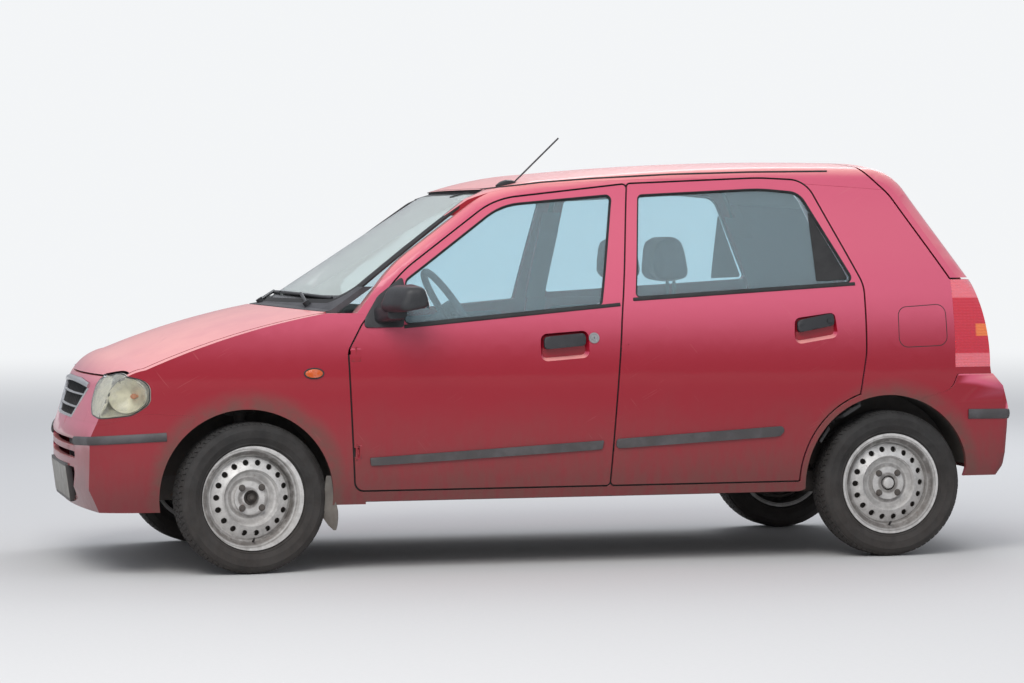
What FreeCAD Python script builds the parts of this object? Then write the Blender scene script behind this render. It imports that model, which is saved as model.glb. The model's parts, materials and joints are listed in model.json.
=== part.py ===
import FreeCAD, Part
import functools
import math
import os

# Small five-door hatchback car in millimetres, +X to the rear, +Y to the car's right, +Z up.
# The origin is on the floor, below the middle of the body.

V = FreeCAD.Vector

# Overall size and wheels
LENGTH = 3495.0
HALF_LENGTH = LENGTH / 2
HALF_WIDTH = 737.5
FRONT_AXLE_X = -1152.5
REAR_AXLE_X = 1207.5
TYRE_RADIUS = 266.0
TYRE_WIDTH = 155.0
RIM_RADIUS = 182.5
FRONT_WHEEL_Y = 647.5
REAR_WHEEL_Y = 645.0
HUB_Z = TYRE_RADIUS

# Panel thicknesses and gaps
SKIN = 20.0
DOOR_FLANGE = 8.0
DOOR_DEPTH = 58.0
DOOR_FRAME_DEPTH = 30.0
PILLAR_FACE = 70.0
PILLAR_FRAME_FACE = 40.0
PILLAR_DEPTH = 100.0
PILLAR_FRAME_BACK = 72.0
TAILGATE_DEPTH = 38.0
GAP = 6.5
SEAT = 0.3
FLANGE = 34.0
JAMB = 40.0
GLASS = 5.0
GLASS_INSET = 10.0
SHEET = 8.0

# Wheel arches
FRONT_ARCH = 305.0
REAR_ARCH = 318.0
ARCH_RAISE = 6.0
ARCH_LINING = 8.0

# Steering
STEER_REST = 6.0
KINGPIN_LEAN = 15.0
KINGPIN_FOOT_Y = 600.0
KINGPIN_FOOT_Z = 176.0
BALL_RADIUS = 13.0
STUB_RADIUS = 17.0

# Body levels: height, half width, side bow, front corner radius, rear corner radius
LEVELS = [
    (150.0, 690.0, 30.0, 300.0, 170.0),
    (430.0, 734.0, 26.0, 300.0, 165.0),
    (640.0, HALF_WIDTH, 25.0, 290.0, 160.0),
    (800.0, 731.0, 25.0, 280.0, 160.0),
    (950.0, 701.0, 24.0, 270.0, 160.0),
    (1100.0, 650.0, 24.0, 260.0, 175.0),
    (1480.0, 520.0, 24.0, 240.0, 180.0),
]
LEVEL_ENDS = (-1800.0, 1790.0)

# Centre-line profile of the body, from the chin over the roof to the tail:
# x, z, shift of x and of z at the section edge, and "arc" where the point is the middle of an arc
SECTION_EDGE = 760.0
PROFILE = [
    (-1690.0, 160.0, 70.0, 0.0, "corner"),
    (-HALF_LENGTH, 300.0, 70.0, 0.0, "corner"),
    (-HALF_LENGTH, 480.0, 70.0, 0.0, "corner"),
    (-1685.0, 675.0, 70.0, -30.0, "corner"),
    (-1640.0, 738.0, 70.0, -52.0, "arc"),
    (-1560.0, 777.0, 56.0, -67.0, "corner"),
    (-1280.0, 872.0, 0.0, -75.0, "arc"),
    (-990.0, 938.0, 190.0, -26.0, "corner"),
    (-362.0, 1337.0, 60.0, -59.0, "corner"),
    (-200.0, 1383.0, 0.0, -66.0, "arc"),
    (-16.0, 1408.0, 0.0, -66.0, "corner"),
    (600.0, 1447.0, 0.0, -66.0, "arc"),
    (1215.0, 1448.0, -29.0, -66.0, "corner"),
    (1310.0, 1413.0, -67.0, -53.0, "arc"),
    (1385.0, 1335.0, -96.0, -26.0, "corner"),
    (1608.0, 1006.0, -96.0, 0.0, "corner"),
    (1660.0, 850.0, -96.0, 0.0, "arc"),
    (1677.0, 690.0, -96.0, 0.0, "corner"),
    (1682.0, 655.0, -96.0, 0.0, "corner"),
    (HALF_LENGTH, 540.0, -96.0, 0.0, "corner"),
    (1740.0, 330.0, -96.0, 0.0, "corner"),
    (1690.0, 160.0, -96.0, 0.0, "corner"),
]
ROOF_ROUND = 60.0

# Side outlines: x, z, corner radius
FRONT_DOOR = [
    (-776.0, 286.0, 30.0),
    (-798.0, 775.0, 60.0),
    (-748.0, 866.0, 60.0),
    (-600.0, 1046.0, 500.0),
    (-236.0, 1306.0, 300.0),
    (254.0, 1360.0, 12.0),
    (190.0, 880.0, 900.0),
    (141.0, 286.0, 12.0),
]
REAR_DOOR = [
    (141.0 + GAP, 286.0, 12.0),
    (190.0 + GAP, 880.0, 900.0),
    (254.0 + GAP, 1360.7, 12.0),
    (760.0, 1381.0, 900.0),
    (938.0, 1372.0, 95.0),
    (1113.0, 990.0, 130.0),
    (1108.0, 740.0, 300.0),
    (1078.0, 560.0, 40.0),
    (860.0, 286.0, 25.0),
]
FRONT_WINDOW = [
    (-600.0, 866.0, 20.0),
    (-586.0, 1022.0, 30.0),
    (-216.0, 1288.0, 250.0),
    (197.0, 1324.0, 18.0),
    (122.0, 930.0, 14.0),
]
REAR_WINDOW = [
    (250.0, 954.0, 14.0),
    (296.0, 1322.0, 18.0),
    (760.0, 1344.0, 700.0),
    (912.0, 1330.0, 70.0),
    (1082.0, 1002.0, 20.0),
]
BELT_Z = 935.0

# Front view outlines: y, z, corner radius
WINDSCREEN = [
    (-640.0, 942.0, 50.0),
    (-500.0, 1345.0, 70.0),
    (500.0, 1345.0, 70.0),
    (640.0, 942.0, 50.0),
]
REAR_GLASS = [
    (-520.0, 1020.0, 60.0),
    (-430.0, 1352.0, 70.0),
    (430.0, 1352.0, 70.0),
    (520.0, 1020.0, 60.0),
]
HEADLAMP = [
    (-705.0, 640.0, 40.0),
    (-650.0, 700.0, 60.0),
    (-445.0, 690.0, 60.0),
    (-425.0, 590.0, 40.0),
    (-560.0, 550.0, 120.0),
    (-700.0, 580.0, 40.0),
]
GRILLE = [
    (-112.5, 508.0, 10.0),
    (-232.0, 672.0, 30.0),
    (232.0, 672.0, 30.0),
    (112.5, 508.0, 10.0),
]


def arc(a, b, c):
    """Arc edge through three points."""
    return Part.Arc(a, b, c).toShape()


def line(a, b):
    """Straight edge."""
    return Part.LineSegment(a, b).toShape()


def side(x, z):
    """Point of a side-view outline."""
    return V(x, 0, z)


def front(y, z):
    """Point of a front-view outline."""
    return V(0, y, z)


def top(x, y):
    """Point of a plan-view outline."""
    return V(x, y, 0)


def outline(rows, place):
    """Face of a polygon whose corners are rounded to the radius in each row."""
    corners = []
    count = len(rows)
    for i, (u, v, radius) in enumerate(rows):
        before = V(rows[i - 1][0] - u, rows[i - 1][1] - v, 0).normalize()
        after_row = rows[(i + 1) % count]
        after = V(after_row[0] - u, after_row[1] - v, 0).normalize()
        half_turn = (math.pi - before.getAngle(after)) / 2
        reach = radius * math.tan(half_turn)
        middle = (before + after).normalize() * (radius / math.cos(half_turn) - radius)
        corner = V(u, v, 0)
        corners.append((corner + before * reach, corner + middle, corner + after * reach))
    edges = []
    for i, (start, middle, end) in enumerate(corners):
        following = corners[(i + 1) % count][0]
        edges.append(arc(*(place(p.x, p.y) for p in (start, middle, end))))
        edges.append(line(place(end.x, end.y), place(following.x, following.y)))
    return Part.Face(Part.Wire(edges))


def prism(face, start, depth):
    """Outline face moved by one vector and pushed along another."""
    moved = face.copy()
    moved.translate(start)
    return moved.extrude(depth)


def left_prism(face, offset=0.0):
    """Side outline, grown by an offset, pushed through the left half of the car."""
    grown = face.makeOffset2D(offset) if offset else face
    return prism(grown, V(0, -1200, 0), V(0, 1150, 0))


def along_x(face, x_from, x_to, offset=0.0):
    """Front-view outline, grown by an offset, pushed from one x to another."""
    grown = face.makeOffset2D(offset) if offset else face
    return prism(grown, V(x_from, 0, 0), V(x_to - x_from, 0, 0))


def block(x_range, y_range, z_range):
    """Box from three ranges."""
    size = [high - low for low, high in (x_range, y_range, z_range)]
    return Part.makeBox(*size, V(x_range[0], y_range[0], z_range[0]))


def rod(radius, start, end):
    """Cylinder between two points."""
    return Part.makeCylinder(radius, (end - start).Length, start, end - start)


def across(radius, x, z, y_from, y_to):
    """Cylinder whose axis runs across the car."""
    return rod(radius, V(x, y_from, z), V(x, y_to, z))


def mirrored(shape):
    """The same piece on the other side of the car."""
    return shape.mirror(V(0, 0, 0), V(0, 1, 0))


def fused(shapes):
    """One solid from pieces that overlap or touch."""
    return shapes[0].multiFuse(shapes[1:]).removeSplitter()


def level_wire(level, inset):
    """Plan outline of the body at one level, moved inwards by the inset."""
    z, width, bow, front_radius, rear_radius = level
    edge = width - bow - inset
    nose, tail = LEVEL_ENDS[0] + inset, LEVEL_ENDS[1] - inset
    nose_r, tail_r = front_radius - inset, rear_radius - inset
    cut = 1 - math.sqrt(0.5)
    left = [
        V(nose, nose_r - edge, z),
        V(nose + nose_r * cut, nose_r * cut - edge, z),
        V(nose + nose_r, -edge, z),
        V((nose + nose_r + tail - tail_r) / 2, -edge - bow, z),
        V(tail - tail_r, -edge, z),
        V(tail - tail_r * cut, tail_r * cut - edge, z),
        V(tail, tail_r - edge, z),
    ]
    right = [V(p.x, -p.y, p.z) for p in left]
    edges = [line(right[0], left[0])]
    edges += [arc(*left[i:i + 3]) for i in (0, 2, 4)]
    edges.append(line(left[6], right[6]))
    edges += [arc(right[i + 2], right[i + 1], right[i]) for i in (4, 2, 0)]
    return Part.Wire(edges)


@functools.cache
def level_solid(inset):
    """Loft of the body through its plan outlines."""
    return Part.makeLoft([level_wire(level, inset) for level in LEVELS], True, False)


def profile_wire(y, share, inset):
    """Side profile of the body in the plane at y, with a share of its edge shifts."""
    points = [(V(x + dx * share, y, z + dz * share), kind) for x, z, dx, dz, kind in PROFILE]
    points.append(points[0])
    edges = []
    for i, (point, kind) in enumerate(points[:-1]):
        following, following_kind = points[i + 1]
        if kind == "arc":
            edges.append(arc(points[i - 1][0], point, following))
        elif following_kind != "arc":
            edges.append(line(point, following))
    wire = Part.Wire(edges)
    return wire.makeOffset2D(-inset, 2) if inset else wire


@functools.cache
def profile_solid(inset):
    """Loft of the side profile from one side of the car to the other."""
    sections = [(-SECTION_EDGE, 1.0), (0.0, 0.0), (SECTION_EDGE, 1.0)]
    return Part.makeLoft([profile_wire(y, share, inset) for y, share in sections], True, False)


def roof_edges(solid):
    """Edges where the roof, the pillars and the tail meet the sides above the belt."""
    found = []
    for edge in solid.Edges:
        box = edge.BoundBox
        if box.ZMin > 780 and box.YMin * box.YMax > 0 and abs(box.YMin) > 100 and box.XMin > -850:
            found.append(edge)
    return found


@functools.cache
def hull(side_inset, profile_inset):
    """Body volume with its sides and its profile moved inwards."""
    solid = profile_solid(profile_inset).common(level_solid(side_inset))
    if side_inset == 0 and profile_inset == 0:
        return solid.makeFillet(ROOF_ROUND, roof_edges(solid))
    return solid


def panel(zone, thickness=SKIN):
    """Body skin inside a zone."""
    return wall(zone, (0, 0), (thickness, thickness))


def wall(zone, outer, inner):
    """Part of a zone between two body volumes, each given by its two insets."""
    return hull(*outer).common(zone).cut(hull(*inner))


def pane(zone):
    """Glass sheet inside a zone."""
    inner = GLASS_INSET + GLASS
    return wall(zone, (GLASS_INSET, GLASS_INSET), (inner, inner))


# Zones below the belt line and beside the windows
BELOW_BELT = block((-1900, 1900), (-900, 900), (0, BELT_Z))
BESIDE_WINDOWS = block((-1900, 1900), (-900, 900), (BELT_Z, 1700))

FRONT_DOOR_FACE = outline(FRONT_DOOR, side)
REAR_DOOR_FACE = outline(REAR_DOOR, side)
WINDSCREEN_FACE = outline(WINDSCREEN, front)
REAR_GLASS_FACE = outline(REAR_GLASS, front)
HEADLAMP_FACE = outline(HEADLAMP, front)
GRILLE_FACE = outline(GRILLE, front)

# Bonnet seam: side edges, rear corners and rear middle, lowest edge at the nose
BONNET_SIDE_Y = 676.0
BONNET_REAR_X = -872.0
BONNET_REAR_BOW = 158.0
COWL_GAP = 9.0
BONNET_FRONT_Z = 697.0

# Tailgate seam
TAILGATE_TOP_X = 1150.0
TAILGATE_LAMP_Y = 482.0
TAILGATE_FOOT_Z = 668.0
LAMP_TOP_Z = 1008.0
LAMP_FOOT_Z = 688.0
LAMP_FRONT_X = 1456.0
TAILGATE_SIDE = [
    (TAILGATE_TOP_X, 1600.0, 1.0),
    (TAILGATE_TOP_X, 1432.0, 30.0),
    (1262.0, 1326.0, 200.0),
    (LAMP_FRONT_X, LAMP_TOP_Z + GAP, 1.0),
    (1900.0, LAMP_TOP_Z + GAP, 1.0),
    (1900.0, 1600.0, 1.0),
]

# Tailgate hinges below the rear of the roof: x and z ranges of root, arm and bearing
TAIL_HINGE_Y = (330.0, 370.0)
TAIL_HINGE = (
    ((1100.0, 1137.0), (1386.0, 1450.0)),
    ((1100.0, 1185.0), (1386.0, 1394.0)),
    ((1157.0, 1185.0), (1390.0, 1420.0)),
)

# Door hinges: point on the left axis, direction, and the heights of the two hinges
DOOR_HINGES = (
    (V(-774.0, -723.5, 600.0), V(0, 0, 1)),
    (V(197.4, -728.0, 600.0), V(49, 0, 594)),
)
HINGE_HEIGHTS = (420.0, 760.0)
PIN_RADIUS = 4.0
PIN_REACH = 26.0

# Bumpers and fenders
BUMPER_TOP_Z = 533.0
BUMPER_SIDE_TOP_Z = 568.0
FRONT_BUMPER = [
    (-1900.0, 150.0, 1.0),
    (-1900.0, BUMPER_TOP_Z, 1.0),
    (-1640.0, BUMPER_TOP_Z, 60.0),
    (-1530.0, BUMPER_SIDE_TOP_Z, 60.0),
    (-1345.0, BUMPER_SIDE_TOP_Z - 12, 1.0),
    (-1345.0, 150.0, 1.0),
]
REAR_BUMPER = [
    (1325.0, 150.0, 1.0),
    (1325.0, 575.0, 1.0),
    (1440.0, 606.0, 60.0),
    (1462.0, 662.0, 12.0),
    (1900.0, 662.0, 1.0),
    (1900.0, 150.0, 1.0),
]
HEADLAMP_INNER_Y = 480.0
COWL_SIDE_Y = 655.0
FENDER_REAR_X = -740.0
FENDER_TOP_Z = 908.0
SILL_FOOT_Z = 236.0
ROOF_SEAM_Y = 541.0
ROOF_FRONT_X = -380.0
SCREEN_FRONT_X = -1150.0
SCREEN_REAR_X = -200.0
TAIL_GLASS_X = (1180.0, 1800.0)


def front_arch_hole():
    """Round openings above both front wheels."""
    z = HUB_Z + ARCH_RAISE
    return across(FRONT_ARCH, FRONT_AXLE_X - 8, z, -1000, 1000)


def rear_arch_hole():
    """Round openings above both rear wheels."""
    z = HUB_Z + ARCH_RAISE
    return across(REAR_ARCH, REAR_AXLE_X - 10, z, -1000, 1000)


def bonnet_zone(grow):
    """Volume above the plan outline of the bonnet, grown by a seam width."""
    y = BONNET_SIDE_Y + grow
    rear = BONNET_REAR_X + grow
    nose = -1900
    edges = [
        line(top(rear, -y), top(nose, -y)),
        line(top(nose, -y), top(nose, y)),
        line(top(nose, y), top(rear, y)),
        arc(top(rear, y), top(rear - BONNET_REAR_BOW, 0), top(rear, -y)),
    ]
    face = Part.Face(Part.Wire(edges))
    return prism(face, V(0, 0, BONNET_FRONT_Z - grow), V(0, 0, 400))


def tailgate_zone(grow):
    """Volume behind the tailgate seam, grown by a seam width."""
    upper = outline(TAILGATE_SIDE, side)
    if grow:
        upper = upper.makeOffset2D(grow)
    upper = prism(upper, V(0, -900, 0), V(0, 1800, 0))
    half = TAILGATE_LAMP_Y + grow
    lower = block((1480, 1900), (-half, half), (TAILGATE_FOOT_Z - grow, LAMP_TOP_Z + 40))
    return upper.fuse(lower)


def hinge_points(index):
    """Middles of the two hinges of one left door, with the direction of their pins."""
    point, along = DOOR_HINGES[index]
    return [(point + along * ((z - point.z) / along.z), V(along).normalize()) for z in HINGE_HEIGHTS]


def hinge_bracket(point, along):
    """Hinge bracket of a door pillar with its pin."""
    x, y, z = point
    bracket = block((x - 2, x + 10), (y - 0.5, y + 76), (z - 10, z + 10))
    return bracket.fuse(rod(PIN_RADIUS, point - along * PIN_REACH, point + along * PIN_REACH))


def hinge_pocket(point, along):
    """Room for a hinge bracket and its pin inside the front edge of a door."""
    x, y, z = point
    pocket = block((x - 60, x + 15), (y - 3.4, y + 70), (z - 16, z + 16))
    reach = along * (PIN_REACH + 2)
    return pocket.fuse(rod(PIN_RADIUS + SEAT, point - reach, point + reach))


def doors_left():
    """Front and rear door of the left side, with their window openings."""
    arch = across(REAR_ARCH + 26, REAR_AXLE_X - 10, HUB_Z + ARCH_RAISE, -1000, 0)
    doors = []
    rows = ((FRONT_DOOR_FACE, FRONT_WINDOW), (REAR_DOOR_FACE, REAR_WINDOW))
    for index, (face, window) in enumerate(rows):
        hole = left_prism(outline(window, side))
        leaf = left_prism(face).cut(hole)
        inner = left_prism(face, -DOOR_FLANGE).cut(hole)
        if face is REAR_DOOR_FACE:
            leaf, inner = leaf.cut(arch), inner.cut(arch)
        flange = (DOOR_FLANGE, DOOR_FLANGE)
        pieces = [
            wall(leaf, (0, 0), flange),
            wall(inner.common(BELOW_BELT), flange, (DOOR_DEPTH, SKIN)),
            wall(inner.common(BESIDE_WINDOWS), flange, (DOOR_FRAME_DEPTH, SKIN)),
        ]
        door = fused(pieces)
        for point, along in hinge_points(index):
            door = door.cut(hinge_pocket(point, along))
        doors.append(door)
    return doors


def door_glass_left():
    """Panes of the two left doors."""
    return [pane(left_prism(outline(window, side), -SEAT)) for window in (FRONT_WINDOW, REAR_WINDOW)]


def side_frame_left():
    """Left body side: pillars, roof rail, sill, jambs and quarter panel."""
    faces = (FRONT_DOOR_FACE, REAR_DOOR_FACE)
    arch = across(REAR_ARCH + 26 - GAP, REAR_AXLE_X - 10, HUB_Z + ARCH_RAISE, -1000, 0)
    below_roof = block((-850, 1400), (-900, -ROOF_SEAM_Y), (SILL_FOOT_Z, 1500))
    ring = left_prism(faces[0], JAMB).fuse(left_prism(faces[1], JAMB)).common(below_roof)
    ring = ring.cut(left_prism(faces[0], -FLANGE).fuse(left_prism(faces[1], -FLANGE).cut(arch)))
    doorway = left_prism(faces[0], GAP).fuse(left_prism(faces[1], GAP)).cut(arch)
    pieces = []
    rows = (
        (BELOW_BELT, (PILLAR_FACE, SKIN), (PILLAR_DEPTH, SKIN)),
        (BESIDE_WINDOWS, (PILLAR_FRAME_FACE, SKIN), (PILLAR_FRAME_BACK, SKIN)),
    )
    for level, doorway_inset, back in rows:
        jamb = wall(ring.common(level), (0, 0), back)
        pieces.append(jamb.cut(doorway.common(level).cut(hull(*doorway_inset))))
    quarter = block((800, 1900), (-900, -ROOF_SEAM_Y + 200), (400, 1600))
    quarter = quarter.cut(block((0, 1900), (-ROOF_SEAM_Y, 0), (1000, 1600))).cut(doorway)
    pieces.append(panel(quarter.cut(tailgate_zone(GAP))))
    frame = fused(pieces)
    front_skin = block((-1900, FENDER_REAR_X), (-900, 0), (0, FENDER_TOP_Z)).cut(hull(SKIN + SEAT, SKIN + SEAT))
    lamp = block((LAMP_FRONT_X - SEAT, 1900), (-900, 0), (LAMP_FOOT_Z - SEAT, LAMP_TOP_Z + 2 * GAP))
    bumper = left_prism(outline(REAR_BUMPER, side), SEAT)
    screen = along_x(WINDSCREEN_FACE, SCREEN_FRONT_X, SCREEN_REAR_X)
    for neighbour in (front_skin, rear_arch_hole(), lamp, bumper, screen):
        frame = frame.cut(neighbour)
    brackets = [hinge_bracket(*hinge) for index in (0, 1) for hinge in hinge_points(index)]
    return frame.multiFuse(brackets)


def roof_panel():
    """Roof skin from the windscreen to the tailgate, between the two rails."""
    half = ROOF_SEAM_Y - SEAT
    zone = block((ROOF_FRONT_X - 60, 1400), (-half, half), (1250, 1600))
    zone = zone.cut(tailgate_zone(GAP)).cut(along_x(WINDSCREEN_FACE, SCREEN_FRONT_X, SCREEN_REAR_X))
    for face in (FRONT_DOOR_FACE, REAR_DOOR_FACE):
        door = left_prism(face, GAP)
        zone = zone.cut(door).cut(mirrored(door))
    pieces = [panel(zone)]
    for hand in (-1, 1):
        sides = sorted((hand * TAIL_HINGE_Y[0], hand * TAIL_HINGE_Y[1]))
        root, arm, bearing = (block(xs, sides, zs) for xs, zs in TAIL_HINGE)
        pieces.append(root.common(hull(GLASS_INSET, GLASS_INSET)))
        pieces.append(arm)
        pieces.append(bearing.common(hull(TAILGATE_DEPTH + SEAT, TAILGATE_DEPTH + SEAT)))
    return fused(pieces)


def front_fender_left():
    """Left front fender with its arch, from the headlamp to the door."""
    zone = block((-1750, FENDER_REAR_X), (-900, -HEADLAMP_INNER_Y), (SILL_FOOT_Z, FENDER_TOP_Z - SEAT))
    cowl = block((-1100, -700), (-COWL_SIDE_Y, 0), (800, 1000))
    door = left_prism(FRONT_DOOR_FACE, GAP)
    bumper = left_prism(outline(FRONT_BUMPER, side), SEAT)
    lamp = along_x(HEADLAMP_FACE, -1900, -1300, SEAT)
    for neighbour in (bonnet_zone(GAP), front_arch_hole(), door, bumper, lamp, cowl):
        zone = zone.cut(neighbour)
    return panel(zone)


def front_panel():
    """Body-coloured panel round the grille, between the headlamps."""
    half = HEADLAMP_INNER_Y - SEAT
    zone = block((-1900, -1500), (-half, half), (BUMPER_TOP_Z + SEAT, BONNET_FRONT_Z - GAP))
    zone = zone.cut(along_x(GRILLE_FACE, -1900, -1400, SEAT))
    for lamp in (HEADLAMP_FACE, HEADLAMP_FACE.mirror(V(0, 0, 0), V(0, 1, 0))):
        zone = zone.cut(along_x(lamp, -1900, -1300, SEAT))
    return panel(zone)


def grille():
    """Trapezoid grille: a frame with upright and level bars."""
    foot = BUMPER_TOP_Z + SEAT
    inside = along_x(GRILLE_FACE, -1900, -1400).common(block((-1900, -1400), (-240, 240), (foot, 700)))
    opening = along_x(GRILLE_FACE, -1950, -1350, -12.0)
    bars = [block((-1900, -1400), (-240, 240), (z - 4, z + 4)) for z in (foot + 4, 570.0, 604.0, 638.0)]
    bars.append(block((-1900, -1400), (-6, 6), (foot, 680)))
    zone = inside.cut(opening).multiFuse([inside.common(bar) for bar in bars])
    return wall(zone, (4, 4), (SKIN, SKIN))


def headlamp_left():
    """Left headlamp body behind its oval lens."""
    return wall(along_x(HEADLAMP_FACE, -1900, -1300).cut(bonnet_zone(GAP)), (0, 0), (70, 70))


def tail_lamp_left():
    """Left tail lamp, wrapped round the corner beside the tailgate."""
    zone = block((LAMP_FRONT_X, 1900), (-900, -TAILGATE_LAMP_Y - GAP), (LAMP_FOOT_Z, LAMP_TOP_Z))
    return wall(zone, (0, 0), (45, 45))


def front_bumper():
    """Front bumper shell with its centre intake."""
    zone = prism(outline(FRONT_BUMPER, side), V(0, -900, 0), V(0, 1800, 0))
    intake = outline([(-330, 245, 20), (-300, 330, 20), (300, 330, 20), (330, 245, 20)], front)
    slot = outline([(-300, 395, 12), (-300, 440, 12), (300, 440, 12), (300, 395, 12)], front)
    for hole in (intake, slot):
        zone = zone.cut(along_x(hole, -1900, -1500))
    return panel(zone.cut(front_arch_hole()).cut(block((-1900, 0), (-900, 900), (0, 222))))


def rear_bumper():
    """Rear bumper shell."""
    zone = prism(outline(REAR_BUMPER, side), V(0, -900, 0), V(0, 1800, 0))
    return panel(zone.cut(rear_arch_hole()).cut(block((0, 1900), (-900, 900), (0, 262))))


def bonnet():
    """Bonnet skin."""
    return panel(bonnet_zone(0))


def cowl_panel(frames):
    """Panel between the bonnet and the windscreen."""
    half = COWL_SIDE_Y - SEAT
    zone = block((-1100, -700), (-half, half), (840, 1000)).cut(bonnet_zone(COWL_GAP))
    cowl = panel(zone.cut(along_x(WINDSCREEN_FACE, SCREEN_FRONT_X, SCREEN_REAR_X)))
    for frame in frames:
        cowl = cowl.cut(frame)
    return cowl


def windscreen():
    """Windscreen pane."""
    return pane(along_x(WINDSCREEN_FACE, SCREEN_FRONT_X, SCREEN_REAR_X, -SEAT))


def tailgate():
    """Tailgate shell with its window opening."""
    return panel(tailgate_zone(0).cut(along_x(REAR_GLASS_FACE, *TAIL_GLASS_X)), TAILGATE_DEPTH)


def tailgate_glass():
    """Rear window pane."""
    return pane(along_x(REAR_GLASS_FACE, *TAIL_GLASS_X, -SEAT))


# Floor, cabin and engine bay
FLOOR_Z = 240.0
FIREWALL_X = -850.0
REAR_FLOOR_X = 880.0
REAR_FLOOR_Z = 335.0
FLOOR_END_X = 1660.0
WHEELHOUSE_WALL_Y = 385.0
REAR_WHEELHOUSE_Y = 535.0
TOWER_RADIUS = 80.0
TOWER_TOP_Z = 800.0
STRUT_RADIUS = 22.0
TOWER_Y = 455.0
RAIL_WIDTH = 50.0
RAIL_FOOT_Z = 430.0
RAIL_TOP_Z = 520.0
RAIL_FRONT_X = -1640.0
ARM_TOP_Z = KINGPIN_FOOT_Z + 7
ARM_FOOT_Z = KINGPIN_FOOT_Z - 7


def floor_pan():
    """Floor, firewall and raised rear floor in one sheet."""
    plates = [
        block((FIREWALL_X, REAR_FLOOR_X), (-800, 800), (FLOOR_Z, FLOOR_Z + SHEET)),
        block((REAR_FLOOR_X - SHEET, REAR_FLOOR_X), (-800, 800), (FLOOR_Z, REAR_FLOOR_Z + SHEET)),
        block((REAR_FLOOR_X - SHEET, FLOOR_END_X), (-800, 800), (REAR_FLOOR_Z, REAR_FLOOR_Z + SHEET)),
        block((FIREWALL_X, FIREWALL_X + SHEET), (-800, 800), (FLOOR_Z, 1000)),
        block((-960, FIREWALL_X + 1), (-610, -560), (850, 1000)),
        block((-960, FIREWALL_X + 1), (560, 610), (850, 1000)),
    ]
    between_sills = level_solid(PILLAR_DEPTH + SEAT)
    below_cowl = profile_solid(SKIN + SEAT).fuse(block((-900, 1700), (-800, 800), (100, 500)))
    pan = fused(plates).common(between_sills).common(below_cowl)
    z = HUB_Z + ARCH_RAISE
    for hand in (-1, 1):
        radius = REAR_ARCH + ARCH_LINING + SEAT
        wall = REAR_WHEELHOUSE_Y - SHEET - SEAT
        pan = pan.cut(across(radius, REAR_AXLE_X - 10, z, *sorted((hand * wall, hand * 900))))
    return pan


def front_wheelhouse_left():
    """Left front wheelhouse with the strut tower and the engine bay rail."""
    z = HUB_Z + ARCH_RAISE
    x = FRONT_AXLE_X - 8
    wall = -WHEELHOUSE_WALL_Y
    foot = V(FRONT_AXLE_X, -TOWER_Y, z + 200)
    drum = across(FRONT_ARCH + 8 + ARCH_LINING, x, z, -900, wall + SHEET)
    tower = rod(TOWER_RADIUS, foot, V(foot.x, foot.y, TOWER_TOP_Z))
    rail = block((RAIL_FRONT_X, FIREWALL_X - SEAT), (wall, wall + RAIL_WIDTH), (RAIL_FOOT_Z, RAIL_TOP_Z))
    space = across(FRONT_ARCH + 8, x, z, -1000, wall)
    tower_space = rod(TOWER_RADIUS - SHEET, foot, V(foot.x, foot.y, TOWER_TOP_Z - SHEET))
    shape = drum.multiFuse([tower, rail]).cut(space.fuse(tower_space))
    zone = block((-1900, FIREWALL_X - SEAT), (-900, 0), (330, 900))
    inside = hull(SKIN + 2 * SEAT, SKIN + 2 * SEAT + GAP)
    post = block((-1620, -1580), (wall + 10, wall + RAIL_WIDTH - 10), (RAIL_TOP_Z - 5, 900))
    post = post.common(hull(SKIN + SEAT, SKIN + SEAT))
    return fused([shape.common(zone).common(inside), post])


def rear_wheelhouse_left():
    """Left rear wheelhouse."""
    z = HUB_Z + ARCH_RAISE
    x = REAR_AXLE_X - 10
    drum = across(REAR_ARCH + ARCH_LINING, x, z, -900, -REAR_WHEELHOUSE_Y + SHEET)
    space = across(REAR_ARCH, x, z, -1000, -REAR_WHEELHOUSE_Y)
    zone = block((800, 1700), (-900, 0), (330, 900))
    shell = drum.cut(space).common(zone).common(hull(SKIN + 2 * SEAT, SKIN + 2 * SEAT))
    jamb = wall(left_prism(REAR_DOOR_FACE, JAMB + SEAT), (0, 0), (PILLAR_DEPTH + SEAT, SKIN))
    return shell.cut(jamb)


def revolved(rows, x, y, z, direction):
    """Solid turned about the wheel axis from rows of radius and distance outwards from y."""
    points = [V(x + radius, y + direction * out, z) for radius, out in rows]
    wire = Part.makePolygon(points + points[:1])
    return Part.Face(wire).revolve(V(x, y, z), V(0, 1, 0), 360)


# Tyre section from the bead to the tread: radius and distance outwards from the middle plane
BEAD = (RIM_RADIUS - 8 + SEAT, 56.5)
BEAD_TOP = (RIM_RADIUS + 1, 57.5)
SIDEWALL = (TYRE_RADIUS - 42, TYRE_WIDTH / 2)
SHOULDER = (TYRE_RADIUS - 12, TYRE_WIDTH / 2 - 8)
TREAD_EDGE = (TYRE_RADIUS, TYRE_WIDTH / 2 - 32)


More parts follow.
